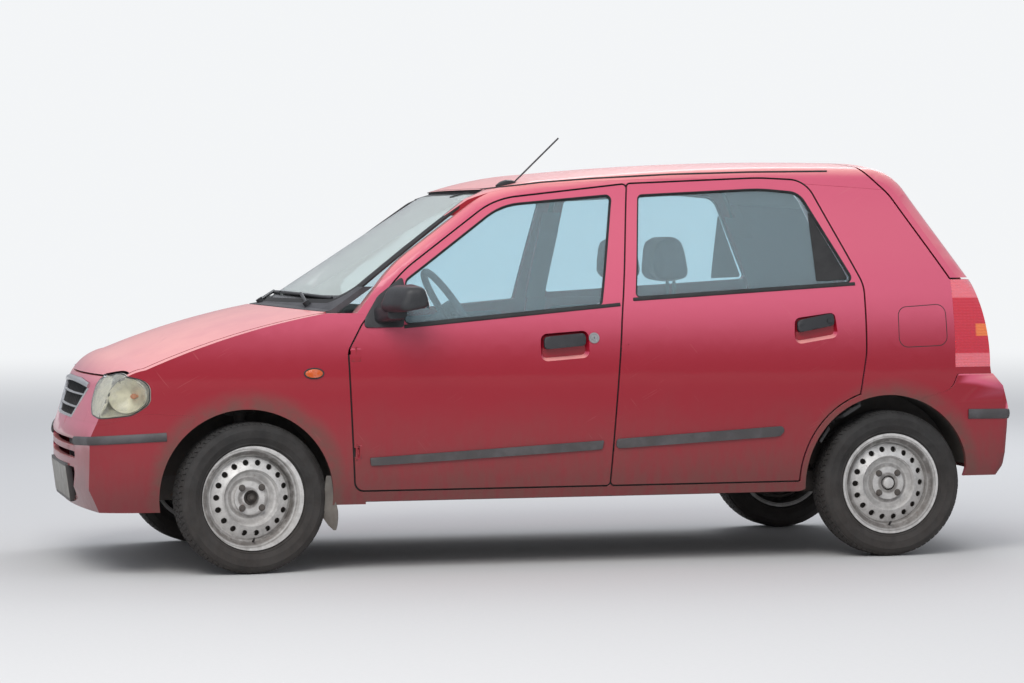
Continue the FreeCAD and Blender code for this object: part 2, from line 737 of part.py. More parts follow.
def tyre(x, y, direction):
    """Tyre turned about the wheel axis."""
    def place(point, hand):
        return V(x + point[0], y + direction * hand * point[1], HUB_Z)

    between = (TYRE_RADIUS - 3, TYRE_WIDTH / 2 - 18)
    edges = []
    for hand in (1, -1):
        edges.append(line(place(BEAD, hand), place(BEAD_TOP, hand)))
        edges.append(arc(place(BEAD_TOP, hand), place(SIDEWALL, hand), place(SHOULDER, hand)))
        edges.append(arc(place(SHOULDER, hand), place(between, hand), place(TREAD_EDGE, hand)))
    edges.append(line(place(TREAD_EDGE, 1), place(TREAD_EDGE, -1)))
    edges.append(line(place(BEAD, 1), place(BEAD, -1)))
    wire = Part.Wire(Part.__sortEdges__(edges))
    return Part.Face(wire).revolve(V(x, y, HUB_Z), V(0, 1, 0), 360)


# Rim section: radius and distance outwards from the wheel's middle plane
RIM_SECTION = [
    (RIM_RADIUS - 8, 57), (RIM_RADIUS, 58), (RIM_RADIUS, 64), (RIM_RADIUS - 14, 62), (RIM_RADIUS - 20, 50),
    (150, 40), (146, 22), (128, 30), (100, 42), (91, 30), (70, 22), (60, 22), (60, 34), (27, 34), (27, 4),
    (STUB_RADIUS, 4), (STUB_RADIUS, -24), (50, -24), (60, 6), (68, 14), (95, 20), (103, 32), (126, 20),
    (148, 12), (156, 30),
    (RIM_RADIUS - 15, 44), (RIM_RADIUS - 15, -50), (RIM_RADIUS - 14, -62), (RIM_RADIUS, -64),
    (RIM_RADIUS, -58), (RIM_RADIUS - 8, -57),
]
RIM_HOLES = 18
RIM_HOLE_RADIUS = 10.5
RIM_HOLE_CIRCLE = 124.5


def rim(x, y, direction):
    """Pressed steel wheel with its hub, pierced by a ring of round holes."""
    disc = revolved(RIM_SECTION, x, y, HUB_Z, direction)
    holes = []
    for i in range(RIM_HOLES):
        angle = 2 * math.pi * i / RIM_HOLES
        hx = x + RIM_HOLE_CIRCLE * math.cos(angle)
        hz = HUB_Z + RIM_HOLE_CIRCLE * math.sin(angle)
        holes.append(across(RIM_HOLE_RADIUS, hx, hz, y + direction * 2, y + direction * 60))
    return disc.cut(Part.makeCompound(holes))


def kingpin_left():
    """Foot and direction of the left steering axis."""
    lean = math.radians(KINGPIN_LEAN)
    foot = V(FRONT_AXLE_X, -KINGPIN_FOOT_Y, KINGPIN_FOOT_Z)
    return foot, V(0, math.sin(lean), math.cos(lean))


def knuckle_left():
    """Left knuckle with its stub axle and strut tube, wheels straight ahead."""
    foot, axis = kingpin_left()
    y = -FRONT_WHEEL_Y
    lean = math.radians(KINGPIN_LEAN)
    rise = TOWER_TOP_Z - SHEET - SEAT - foot.z - STRUT_RADIUS * math.sin(lean)
    pieces = [
        Part.makeSphere(BALL_RADIUS, foot),
        rod(9, foot, foot + axis * 60),
        rod(20, foot + axis * 30, foot + axis * 170),
        rod(STRUT_RADIUS, foot + axis * 130, foot + axis * (rise / math.cos(lean))),
        rod(56, foot + axis * 392, foot + axis * 398),
        across(46, FRONT_AXLE_X, HUB_Z, y + 36, y + 96),
        across(STUB_RADIUS - SEAT, FRONT_AXLE_X, HUB_Z, y - 3, y + 60),
        block((FRONT_AXLE_X, FRONT_AXLE_X + 120), (-575, -553), (HUB_Z - 40, HUB_Z - 22)),
    ]
    return fused(pieces)


def steered(shape, is_left):
    """Piece turned about its steering axis to the rest angle, to the left."""
    foot, axis = kingpin_left()
    if not is_left:
        foot, axis = V(foot.x, -foot.y, foot.z), V(axis.x, -axis.y, axis.z)
    turned = shape.copy()
    turned.rotate(foot, axis, STEER_REST)
    return turned


def front_subframe():
    """Cross member with both lower arms and the steering rack housing."""
    inner = WHEELHOUSE_WALL_Y - RAIL_WIDTH
    beam = block((-1230, -1080), (-inner - 40, inner + 40), (188, 238))
    pieces = [beam, across(22, -1010, 262, -300, 300)]
    for hand in (-1, 1):
        arm = [(-1215, 300, 10), (-1185, 618, 24), (-1120, 618, 24), (-930, 320, 20), (-985, 270, 10)]
        face = outline([(x, hand * y, r) for x, y, r in arm], top)
        pieces.append(prism(face, V(0, 0, ARM_FOOT_Z), V(0, 0, ARM_TOP_Z - ARM_FOOT_Z)))
        pieces.append(block((-1160, -1080), sorted((hand * 270, hand * 330)), (ARM_FOOT_Z, 200)))
        pieces.append(block((-1030, -990), sorted((hand * 260, hand * 300)), (ARM_FOOT_Z, 262)))
        post = sorted((hand * (inner + 4), hand * (inner + 40)))
        pieces.append(block((-1180, -1130), post, (200, RAIL_FOOT_Z - SEAT)))
    frame = fused(pieces)
    for hand in (-1, 1):
        joint = V(FRONT_AXLE_X, hand * KINGPIN_FOOT_Y, 0)
        frame = frame.cut(rod(BALL_RADIUS + SEAT, joint, V(joint.x, joint.y, 400)))
    return frame


def rear_axle():
    """Twist beam with its trailing arms and stub axles."""
    pieces = [across(34, REAR_AXLE_X - 150, 262, -500, 500)]
    for hand in (-1, 1):
        arm = [(880, 250, 20), (880, 310, 20), (1080, 300, 60), (1240, 300, 30), (1240, 232, 30), (1080, 235, 60)]
        face = outline(arm, side)
        pieces.append(prism(face, V(0, hand * 500 - 22, 0), V(0, 44, 0)))
        pieces.append(across(45, REAR_AXLE_X, HUB_Z, *sorted((hand * 480, hand * 608))))
        stub = sorted((hand * 600, hand * (REAR_WHEEL_Y + 3)))
        pieces.append(across(STUB_RADIUS - SEAT, REAR_AXLE_X, HUB_Z, *stub))
        damper = V(REAR_AXLE_X - 60, hand * 500, 280)
        pieces.append(rod(22, damper, V(damper.x, damper.y, REAR_FLOOR_Z - SEAT)))
    return fused(pieces)


# Engine, cabin furniture and underbody
ENGINE = ((-1520.0, -1095.0), (-325.0, 325.0), (238.0 + SEAT, 700.0))
SEAT_Y = 330.0
SEAT_WIDTH = 470.0
REAR_SEAT_HALF = 518.0
STEERING_WHEEL = V(-343.0, -SEAT_Y, 896.0)
STEERING_LEAN = 33.0
STEERING_RADIUS = 180.0
FRONT_SEAT = [
    (-150.0, 300.0, 20.0),
    (-165.0, 445.0, 45.0),
    (-90.0, 485.0, 60.0),
    (300.0, 440.0, 60.0),
    (432.0, 965.0, 40.0),
    (545.0, 955.0, 40.0),
    (430.0, 400.0, 90.0),
    (395.0, 300.0, 20.0),
]
REAR_SEAT = [
    (640.0, FLOOR_Z + SHEET + SEAT, 5.0),
    (612.0, 440.0, 50.0),
    (690.0, 480.0, 50.0),
    (990.0, 430.0, 60.0),
    (1080.0, 900.0, 35.0),
    (1170.0, 900.0, 35.0),
    (1110.0, REAR_FLOOR_Z + SHEET + SEAT, 5.0),
    (REAR_FLOOR_X - SHEET - 2, REAR_FLOOR_Z + SHEET + SEAT, 2.0),
    (REAR_FLOOR_X - SHEET - 2, FLOOR_Z + SHEET + SEAT, 2.0),
]
DASHBOARD = [
    (FIREWALL_X + SHEET + SEAT, 600.0, 20.0),
    (FIREWALL_X + SHEET + SEAT, 890.0, 20.0),
    (-700.0, 935.0, 60.0),
    (-560.0, 905.0, 60.0),
    (-590.0, 720.0, 60.0),
    (-700.0, 620.0, 60.0),
]


def steering_direction():
    """Direction of the steering column, from the dashboard to the driver."""
    lean = math.radians(STEERING_LEAN)
    return V(math.cos(lean), 0, math.sin(lean))


def engine():
    """Engine and gearbox as one plain block."""
    return block(*ENGINE)


def radiator():
    """Radiator between the rails, behind the grille."""
    half = WHEELHOUSE_WALL_Y - RAIL_WIDTH - SEAT
    return block((RAIL_FRONT_X + 10, RAIL_FRONT_X + 45), (-half, half), (300, 620))


def dashboard():
    """Dashboard with the shroud of the steering column."""
    body = prism(outline(DASHBOARD, side), V(0, -596, 0), V(0, 1192, 0))
    along = steering_direction()
    shroud = rod(36, STEERING_WHEEL - along * 330, STEERING_WHEEL - along * 35)
    bore = rod(10 + SEAT, STEERING_WHEEL - along * 90, STEERING_WHEEL)
    return body.fuse(shroud).cut(bore)


def steering_wheel():
    """Steering wheel with three spokes and its short shaft."""
    along = steering_direction()
    ring = Part.makeTorus(STEERING_RADIUS, 13, STEERING_WHEEL, along)
    hub = rod(48, STEERING_WHEEL - along * 28, STEERING_WHEEL + along * 12)
    shaft = rod(10, STEERING_WHEEL - along * 80, STEERING_WHEEL)
    pieces = [ring, hub, shaft]
    for turn in (0, 180, 270):
        spoke = rod(9, STEERING_WHEEL, STEERING_WHEEL + V(0, STEERING_RADIUS, 0))
        spoke.rotate(STEERING_WHEEL, along, turn)
        pieces.append(spoke)
    return fused(pieces)


def front_seat_left():
    """Left front seat with its head restraint and runner."""
    y = -SEAT_Y - SEAT_WIDTH / 2
    cushion = prism(outline(FRONT_SEAT, side), V(0, y, 0), V(0, SEAT_WIDTH, 0))
    runner = block((-90, 340), (-SEAT_Y - 180, -SEAT_Y + 180), (FLOOR_Z + SHEET + SEAT, 320))
    head = outline([(408, 992, 30), (425, 1160, 40), (520, 1168, 40), (560, 1000, 30)], side)
    restraint = prism(head, V(0, -SEAT_Y - 125, 0), V(0, 250, 0))
    post = block((470, 500), (-SEAT_Y - 50, -SEAT_Y + 50), (930, 1010))
    return fused([cushion, runner, restraint, post])


def rear_seat():
    """Rear bench with its backrest."""
    return prism(outline(REAR_SEAT, side), V(0, -REAR_SEAT_HALF, 0), V(0, 2 * REAR_SEAT_HALF, 0))


def fuel_tank():
    """Fuel tank below the rear seat."""
    tank = block((REAR_FLOOR_X + 5, 1005), (-380, 380), (218, REAR_FLOOR_Z - SEAT))
    return tank.makeFillet(16, [e for e in tank.Edges if e.BoundBox.ZMax < 220])


def exhaust():
    """Exhaust pipe with silencer, tail pipe and hangers."""
    y = 160
    z = 196
    pipe = rod(20, V(-1040, y, z), V(1300, y, z))
    pieces = [pipe, rod(62, V(1260, 210, 232), V(1560, 210, 232)), rod(19, V(1540, 250, 232), V(1725, 250, 232))]
    pieces.append(block((1260, 1300), (150, 220), (180, 240)))
    for x, floor in ((-500, FLOOR_Z), (500, FLOOR_Z), (1500, REAR_FLOOR_Z)):
        hanger_y = y if x < 1000 else 210
        pieces.append(rod(6, V(x, hanger_y, z), V(x, hanger_y, floor - SEAT)))
    return fused(pieces)


def mud_flap_left():
    """Flap behind the left front wheel."""
    x = FIREWALL_X - SEAT
    return block((x - SHEET, x), (-678, -600), (128, 300))


def screen_point(y, share, lift):
    """Point on the windscreen at a share of its height, lifted from the body surface."""
    edge = (y / SECTION_EDGE) ** 2
    foot = V(-990 + 190 * edge, y, 938 - 26 * edge)
    head = V(-362 + 60 * edge, y, 1337 - 59 * edge)
    along = head - foot
    normal = V(-along.z, 0, along.x).normalize()
    return foot + along * share + normal * lift


def wiper(pivot_y, pivot_share, far_y, near_y):
    """Wiper arm with its blade resting along the foot of the windscreen."""
    lift = 6.8 - GLASS_INSET
    blade_arc = arc(*(screen_point(y, 0.10, lift) for y in (near_y, (near_y + far_y) / 2, far_y)))
    start = screen_point(near_y, 0.10, lift)
    section = Part.Wire(Part.makeCircle(6, start, blade_arc.tangentAt(blade_arc.FirstParameter)))
    blade = Part.Wire(blade_arc).makePipeShell([section], True, True)
    middle = screen_point((near_y + far_y) / 2, 0.10, lift + 4)
    arm = rod(6, screen_point(pivot_y, pivot_share, 9), middle)
    boss = rod(13, screen_point(pivot_y, pivot_share, -4), screen_point(pivot_y, pivot_share, 16))
    return fused([blade, arm, boss.cut(hull(-SEAT, -SEAT))])


def aerial():
    """Aerial on the front left of the roof."""
    foot = V(-174, -470, 1340)
    tip = V(24, -470, 1530)
    rod_shape = rod(3, foot, tip)
    base = rod(14, foot, foot + (tip - foot).normalize() * 34)
    above = base.fuse(rod_shape).cut(hull(-SEAT, -SEAT))
    return max(above.Solids, key=lambda solid: solid.Volume)


def pad(rows, thickness):
    """Raised pad on the left side of the body."""
    zone = left_prism(outline(rows, side))
    return wall(zone, (-thickness, -thickness), (-SEAT, -SEAT))


HANDLES = ((-98.0, 770.0, 150.0, 24.0), (844.0, 822.0, 150.0, 36.0))
RUB_STRIPS = (
    [(-724.0, 372.0, 4.0), (-728.0, 400.0, 4.0), (120.0, 446.0, 4.0), (112.0, 414.0, 4.0)],
    [(164.0, 416.0, 12.0), (166.0, 450.0, 12.0), (812.0, 486.0, 14.0), (778.0, 448.0, 14.0)],
)


def door_fittings_left(index):
    """Handle, rub strip and, on the front door, the mirror of one left door."""
    x, z, length, rise = HANDLES[index]
    rows = [(x, z, 10), (x, z + 26, 10), (x + length, z + 26 + rise, 10), (x + length, z + rise, 10)]
    pieces = [pad(rows, 12), pad(RUB_STRIPS[index], 8)]
    if index == 0:
        shell = block((-604, -520), (-905, -765), (880, 1000))
        shell = shell.makeFillet(26, shell.Edges)
        foot = block((-595, -545), (-800, -560), (900, 935)).cut(hull(-SEAT, -SEAT))
        pieces.append(max(shell.fuse(foot).Solids, key=lambda s: s.Volume))
    return pieces


def wheels():
    """Tyres and rims by node name, the front ones turned to the rest angle."""
    shapes = {}
    for hand, name in ((-1, "left"), (1, "right")):
        for make, piece in ((tyre, "tyre"), (rim, "rim")):
            front_shape = make(FRONT_AXLE_X, hand * FRONT_WHEEL_Y, hand)
            shapes[f"{piece}_front_{name}"] = steered(front_shape, hand < 0)
            shapes[f"{piece}_rear_{name}"] = make(REAR_AXLE_X, hand * REAR_WHEEL_Y, hand)
    return shapes


def both(shape):
    """A left piece and its mirror image as two solids."""
    return Part.makeCompound([shape, mirrored(shape)])


def build():
    """All sub-parts by node name."""
    nodes = {}
    frame = side_frame_left()
    nodes["side_frames"] = both(frame)
    for place, door, glass, index in zip(("front", "rear"), doors_left(), door_glass_left(), (0, 1)):
        fittings = Part.makeCompound(door_fittings_left(index))
        for name, shape in (("door", door), ("door_glass", glass), ("door_fittings", fittings)):
            nodes[f"{name}_{place}_left"] = shape
            nodes[f"{name}_{place}_right"] = mirrored(shape)
    singles = (roof_panel, front_panel, grille, front_bumper, rear_bumper, bonnet, windscreen, tailgate,
               tailgate_glass, floor_pan, front_subframe, rear_axle, engine, radiator, dashboard,
               steering_wheel, rear_seat, fuel_tank, exhaust, aerial)
    for make in singles:
        nodes[make.__name__] = make()
    nodes["cowl_panel"] = cowl_panel([frame, mirrored(frame)])
    pairs = ((front_fender_left, "front_fenders"), (headlamp_left, "headlamps"), (tail_lamp_left, "tail_lamps"),
             (front_wheelhouse_left, "front_wheelhouses"), (rear_wheelhouse_left, "rear_wheelhouses"),
             (front_seat_left, "front_seats"), (mud_flap_left, "mud_flaps"))
    for make, name in pairs:
        nodes[name] = both(make())
    nodes["wipers"] = Part.makeCompound([wiper(-480, 0.02, -60, -560), wiper(40, 0.0, 420, -20)])
    nodes["knuckle_left"] = steered(knuckle_left(), True)
    nodes["knuckle_right"] = steered(mirrored(knuckle_left()), False)
    nodes.update(wheels())
    return nodes


os.makedirs("parts", exist_ok=True)
for node, shape in build().items():
    shape.exportStep(f"parts/{node}.step")
    print(node, len(shape.Solids), shape.isValid(), round(shape.Volume / 1e6, 2))
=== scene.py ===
"""Looks of a small red five-door hatchback, dressed round its packed construction.

Lengths are metres in the car's own frame: +X to the rear, +Y to the car's right, +Z up.
"""

import json
import logging
import math
from collections.abc import Callable, Iterable, Sequence
from dataclasses import dataclass, replace
from enum import Enum

import bmesh
import bpy
import numpy as np
from mathutils import Matrix, Vector
from mathutils.bvhtree import BVHTree

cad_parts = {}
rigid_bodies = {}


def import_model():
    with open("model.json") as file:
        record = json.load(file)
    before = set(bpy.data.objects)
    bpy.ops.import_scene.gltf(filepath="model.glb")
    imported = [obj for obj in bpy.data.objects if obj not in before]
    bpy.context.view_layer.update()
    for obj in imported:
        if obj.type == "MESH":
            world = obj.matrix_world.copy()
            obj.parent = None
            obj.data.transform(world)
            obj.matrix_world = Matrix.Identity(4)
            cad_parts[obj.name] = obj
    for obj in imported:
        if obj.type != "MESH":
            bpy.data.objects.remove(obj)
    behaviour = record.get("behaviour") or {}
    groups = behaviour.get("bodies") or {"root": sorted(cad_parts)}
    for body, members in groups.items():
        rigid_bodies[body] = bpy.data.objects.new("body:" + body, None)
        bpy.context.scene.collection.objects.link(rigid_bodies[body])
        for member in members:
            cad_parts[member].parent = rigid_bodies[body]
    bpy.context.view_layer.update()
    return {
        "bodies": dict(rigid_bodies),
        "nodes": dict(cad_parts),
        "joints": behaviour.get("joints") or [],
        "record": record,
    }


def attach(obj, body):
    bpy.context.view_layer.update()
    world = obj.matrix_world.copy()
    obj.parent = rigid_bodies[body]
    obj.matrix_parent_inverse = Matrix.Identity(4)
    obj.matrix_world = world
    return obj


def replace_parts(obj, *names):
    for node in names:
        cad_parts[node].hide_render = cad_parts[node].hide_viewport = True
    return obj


log = logging.getLogger("hatchback")

MM = 0.001
DIAGONAL = math.sqrt(0.5)
INWARDS = Vector((DIAGONAL, DIAGONAL, 0.0))
ORIGIN = Vector((0.0, 0.0, 0.0))
AXLE = Vector((0.0, 1.0, 0.0))
UP = Vector((0.0, 0.0, 1.0))
ALONG = Vector((1.0, 0.0, 0.0))

Socket = bpy.types.NodeSocket
Sockets = dict[str, Socket]
Term = Socket | float | tuple[float, ...]
Inputs = dict[str, Term]
Tree = bpy.types.NodeTree
Piece = bpy.types.Object
Colour = tuple[float, float, float]
Outline = Sequence[tuple[float, float]]
Rows = Sequence[Sequence[float]]
Spot = tuple[Vector, Vector]
Rail = Sequence[Spot]
Place = Callable[[float, float], Spot]


class Side(Enum):
    """The two sides of the car, with the sign of their y."""

    LEFT = -1
    RIGHT = 1

    @property
    def word(self) -> str:
        """Side as it stands in the names of nodes and bodies."""
        return self.name.lower()


class Graph:
    """Short calls that fill one node tree."""

    def __init__(self, tree: bpy.types.NodeTree) -> None:
        """Work on an empty tree."""
        self.tree = tree

    def feed(self, socket: Socket, value: Term) -> None:
        """Link a socket, or set its own value.

        Args:
            socket: Input socket.
            value: Output socket to link, or a plain value.
        """
        if isinstance(value, Socket):
            self.tree.links.new(value, socket)
        else:
            socket.default_value = value

    def fill(self, node: bpy.types.Node, inputs: dict) -> bpy.types.Node:
        """Link or set several inputs of a node.

        Args:
            node: The node.
            inputs: Values or sockets, by the inputs' names or numbers.

        Returns:
            The node.
        """
        for name, value in inputs.items():
            self.feed(node.inputs[name], value)
        return node

    def add(self, kind: str, inputs: dict | None = None, **settings: object) -> bpy.types.Node:
        """Add a node.

        Args:
            kind: Blender's name for the node's type.
            inputs: Values or sockets for its inputs, by name or number.
            **settings: The node's own properties.

        Returns:
            The new node.
        """
        node = self.tree.nodes.new(kind)
        for name, value in settings.items():
            setattr(node, name, value)
        return self.fill(node, inputs or {})

    def given(self) -> Sockets:
        """The group's own inputs by name."""
        return {socket.name: socket for socket in self.add("NodeGroupInput").outputs if socket.name}

    def math(self, operation: str, *terms: Term) -> Socket:
        """Result of a Math node."""
        return self.add("ShaderNodeMath", dict(enumerate(terms)), operation=operation).outputs[0]

    def times(self, first: Term, second: Term) -> Socket:
        """Product of two values."""
        return self.math("MULTIPLY", first, second)

    def most(self, first: Term, second: Term) -> Socket:
        """Larger of two values."""
        return self.math("MAXIMUM", first, second)

    def ramp(self, value: Term, low: Term, high: Term, start: float = 0.0, end: float = 1.0) -> Socket:
        """Smooth step of a value between two bounds, from a start to an end result."""
        inputs = dict(enumerate((value, low, high, start, end)))
        return self.add("ShaderNodeMapRange", inputs, interpolation_type="SMOOTHSTEP").outputs[0]

    def mix(self, share: Term, first: Term, second: Term) -> Socket:
        """Mix of two colours."""
        first, second = (term if isinstance(term, Socket) else (*term, 1.0) for term in (first, second))
        return self.add("ShaderNodeMix", {0: share, 6: first, 7: second}, data_type="RGBA").outputs[2]

    def noise(self, vector: Term, scale: float, detail: float = 3.0, roughness: float = 0.5) -> Socket:
        """Noise value."""
        inputs = {"Vector": vector, "Scale": scale, "Detail": detail, "Roughness": roughness}
        return self.add("ShaderNodeTexNoise", inputs).outputs[0]

    def place(self) -> Socket:
        """Position in the car's own frame."""
        return self.add("ShaderNodeTexCoord").outputs["Object"]

    def split(self, vector: Term) -> tuple[Socket, Socket, Socket]:
        """The three parts of a vector."""
        outputs = self.add("ShaderNodeSeparateXYZ", {0: vector}).outputs
        return outputs[0], outputs[1], outputs[2]

    def stretched(self, vector: Term, scale: tuple[float, float, float]) -> Socket:
        """Vector scaled by a different factor on each axis."""
        return self.add("ShaderNodeMapping", {"Vector": vector, "Scale": scale}).outputs[0]

    def scaled_place(self, scale: Term) -> Socket:
        """Position in the car's own frame, times a scale."""
        return self.add("ShaderNodeVectorMath", {0: self.place(), 3: scale}, operation="SCALE").outputs[0]

    def axle_distance(self) -> Socket:
        """Distance from the nearest axle in side view.

        Returns:
            The output socket.
        """
        x, _, z = self.split(self.place())
        runs = [self.math("ABSOLUTE", self.math("SUBTRACT", x, axle)) for axle in (FRONT_AXLE_X, REAR_AXLE_X)]
        run, rise = self.math("MINIMUM", *runs), self.math("SUBTRACT", z, WHEEL_Z)
        return self.math("SQRT", self.math("ADD", self.times(run, run), self.times(rise, rise)))

    def wave(self, value: Term, pitch: float) -> Socket:
        """Sine wave along a value."""
        return self.math("SINE", self.times(value, 2 * math.pi / pitch))

    def effect(self, kind: "type[Effect]", **inputs: Term) -> Sockets:
        """Place a shared effect."""
        node = self.fill(self.add("ShaderNodeGroup", node_tree=kind.tree()), inputs)
        return {socket.name: socket for socket in node.outputs}

    def bump(self, height: Socket, depth: float, strength: float = 1.0) -> Socket:
        """Normal bent by a height."""
        inputs = {"Height": height, "Distance": depth, "Strength": strength}
        return self.add("ShaderNodeBump", inputs).outputs[0]


DUST = (0.115, 0.088, 0.072)
PALE = (0.9, 0.915, 0.93)
WHEEL_Z = 0.266
ARCH_RADIUS = 0.315
FRONT_AXLE_X = -1.1525
REAR_AXLE_X = 1.2075
LENS_RIB = 0.006
TAIL_RIB = 0.0105
TAIL_CELL = 0.014


def blank(owner: bpy.types.Material | bpy.types.World) -> Graph:
    """Emptied node tree of a material or the world."""
    owner.use_nodes = True
    owner.node_tree.nodes.clear()
    return Graph(owner.node_tree)


class Effect:
    """Shader group that several finishes share."""

    name = ""
    usual: dict[str, float] = {}
    outputs: tuple[str, ...] = ("Mask",)

    @staticmethod
    def wire(graph: Graph, given: Sockets) -> Sockets:
        """Wire the group.

        Args:
            graph: The group's node tree.
            given: The group's inputs.

        Returns:
            What goes to its outputs.
        """
        raise NotImplementedError

    @classmethod
    def tree(cls) -> Tree:
        """The group's tree, built on first use.

        Returns:
            The node tree.
        """
        tree = bpy.data.node_groups.get(cls.name)
        if tree:
            return tree
        tree = bpy.data.node_groups.new(cls.name, "ShaderNodeTree")
        for label, value in cls.usual.items():
            tree.interface.new_socket(label, in_out="INPUT", socket_type="NodeSocketFloat").default_value = value
        for label in cls.outputs:
            tree.interface.new_socket(label, in_out="OUTPUT", socket_type="NodeSocketFloat")
        graph = Graph(tree)
        graph.add("NodeGroupOutput", cls.wire(graph, graph.given()))
        return tree


class Dust(Effect):
    """Road dust that thins out with height and breaks up in blotches."""

    name = "road_dust"
    usual = {"Bottom": 0.2, "Top": 0.6, "Breakup": 0.2, "Amount": 0.8}

    @staticmethod
    def wire(graph: Graph, given: Sockets) -> Sockets:
        """Wire the group."""
        place = graph.place()
        coarse = graph.noise(place, 5.0, 5.0, 0.6)
        fine = graph.noise(graph.stretched(place, (1.0, 1.0, 0.35)), 38.0, 4.0, 0.6)
        shift = graph.times(graph.math("SUBTRACT", coarse, 0.5), given["Breakup"])
        level = graph.ramp(graph.math("ADD", graph.split(place)[2], shift), given["Top"], given["Bottom"])
        speckle = graph.ramp(fine, 0.25, 0.65, 0.55, 1.0)
        amount = graph.times(graph.times(level, speckle), given["Amount"])
        return {"Mask": graph.math("MINIMUM", amount, 1.0)}


class ArchDirt(Effect):
    """Dirt thrown on the edges of the four wheel arches."""

    name = "arch_dirt"
    usual = {"Reach": 0.37, "Amount": 0.8}

    @staticmethod
    def wire(graph: Graph, given: Sockets) -> Sockets:
        """Wire the group."""
        edge = graph.ramp(graph.axle_distance(), ARCH_RADIUS, given["Reach"], 1.0, 0.0)
        broken = graph.ramp(graph.noise(graph.place(), 11.0, 5.0, 0.65), 0.3, 0.62, 0.45, 1.0)
        return {"Mask": graph.times(edge, graph.times(broken, given["Amount"]))}


class Blotches(Effect):
    """Soft uneven patches."""

    name = "blotches"
    usual = {"Scale": 4.0, "Low": 0.4, "High": 0.65}

    @staticmethod
    def wire(graph: Graph, given: Sockets) -> Sockets:
        """Wire the group."""
        value = graph.noise(graph.scaled_place(given["Scale"]), 1.0, 5.0, 0.6)
        return {"Mask": graph.ramp(value, given["Low"], given["High"])}


class Grain(Effect):
    """Fine moulded grain."""

    name = "moulded_grain"
    usual = {"Scale": 900.0}
    outputs = ("Height", "Cloud")

    @staticmethod
    def wire(graph: Graph, given: Sockets) -> Sockets:
        """Wire the group."""
        place = graph.scaled_place(given["Scale"])
        cells = graph.add("ShaderNodeTexVoronoi", {"Vector": place, "Scale": 1.0}).outputs[0]
        cloud = graph.noise(place, 0.6, 3.0, 0.6)
        return {"Height": graph.math("ADD", graph.times(cells, 0.6), cloud), "Cloud": cloud}


class Scratches(Effect):
    """Long thin marks in two directions."""

    name = "scratches"
    usual = {"Amount": 0.5}

    @staticmethod
    def wire(graph: Graph, given: Sockets) -> Sockets:
        """Wire the group."""
        place = graph.place()
        lines = []
        for turn, stretch in ((0.5, (4.0, 1.0, 120.0)), (-0.9, (5.0, 1.0, 90.0))):
            turned = graph.add("ShaderNodeMapping", {"Vector": place, "Rotation": (0.0, turn, 0.0)}).outputs[0]
            lines.append(graph.ramp(graph.noise(graph.stretched(turned, stretch), 1.6, 2.0, 0.5), 0.68, 0.75))
        patches = graph.ramp(graph.noise(place, 3.1, 2.0), 0.52, 0.66)
        return {"Mask": graph.times(graph.times(graph.most(*lines), patches), given["Amount"])}


class Weave(Effect):
    """Woven cloth: raised threads with uneven yarn."""

    name = "woven_cloth"
    usual = {"Scale": 2200.0}
    outputs = ("Height", "Yarn")

    @staticmethod
    def wire(graph: Graph, given: Sockets) -> Sockets:
        """Wire the group."""
        place = graph.scaled_place(given["Scale"])
        x, y, z = graph.split(place)
        cross = graph.times(graph.math("SINE", graph.math("ADD", x, z)), graph.math("SINE", y))
        yarn = graph.noise(place, 0.11, 3.0, 0.6)
        return {"Height": graph.math("ADD", graph.times(cross, 0.5), yarn), "Yarn": yarn}


@dataclass(frozen=True)
class Finish:
    """One surface finish. Each kind wires its own colour, gloss and relief."""

    name: str
    colour: Colour
    roughness: float = 0.5

    def wire(self, graph: Graph) -> Inputs:
        """Wire the finish.

        Args:
            graph: The material's node tree.

        Returns:
            Inputs of its Principled BSDF.
        """
        raise NotImplementedError

    def material(self) -> bpy.types.Material:
        """The finish as a material, made on first use.

        Returns:
            The material.
        """
        material = bpy.data.materials.get(self.name)
        if not material:
            material = bpy.data.materials.new(self.name)
            graph = blank(material)
            shader = graph.add("ShaderNodeBsdfPrincipled", self.wire(graph))
            graph.add("ShaderNodeOutputMaterial", {0: shader.outputs[0]})
        return material


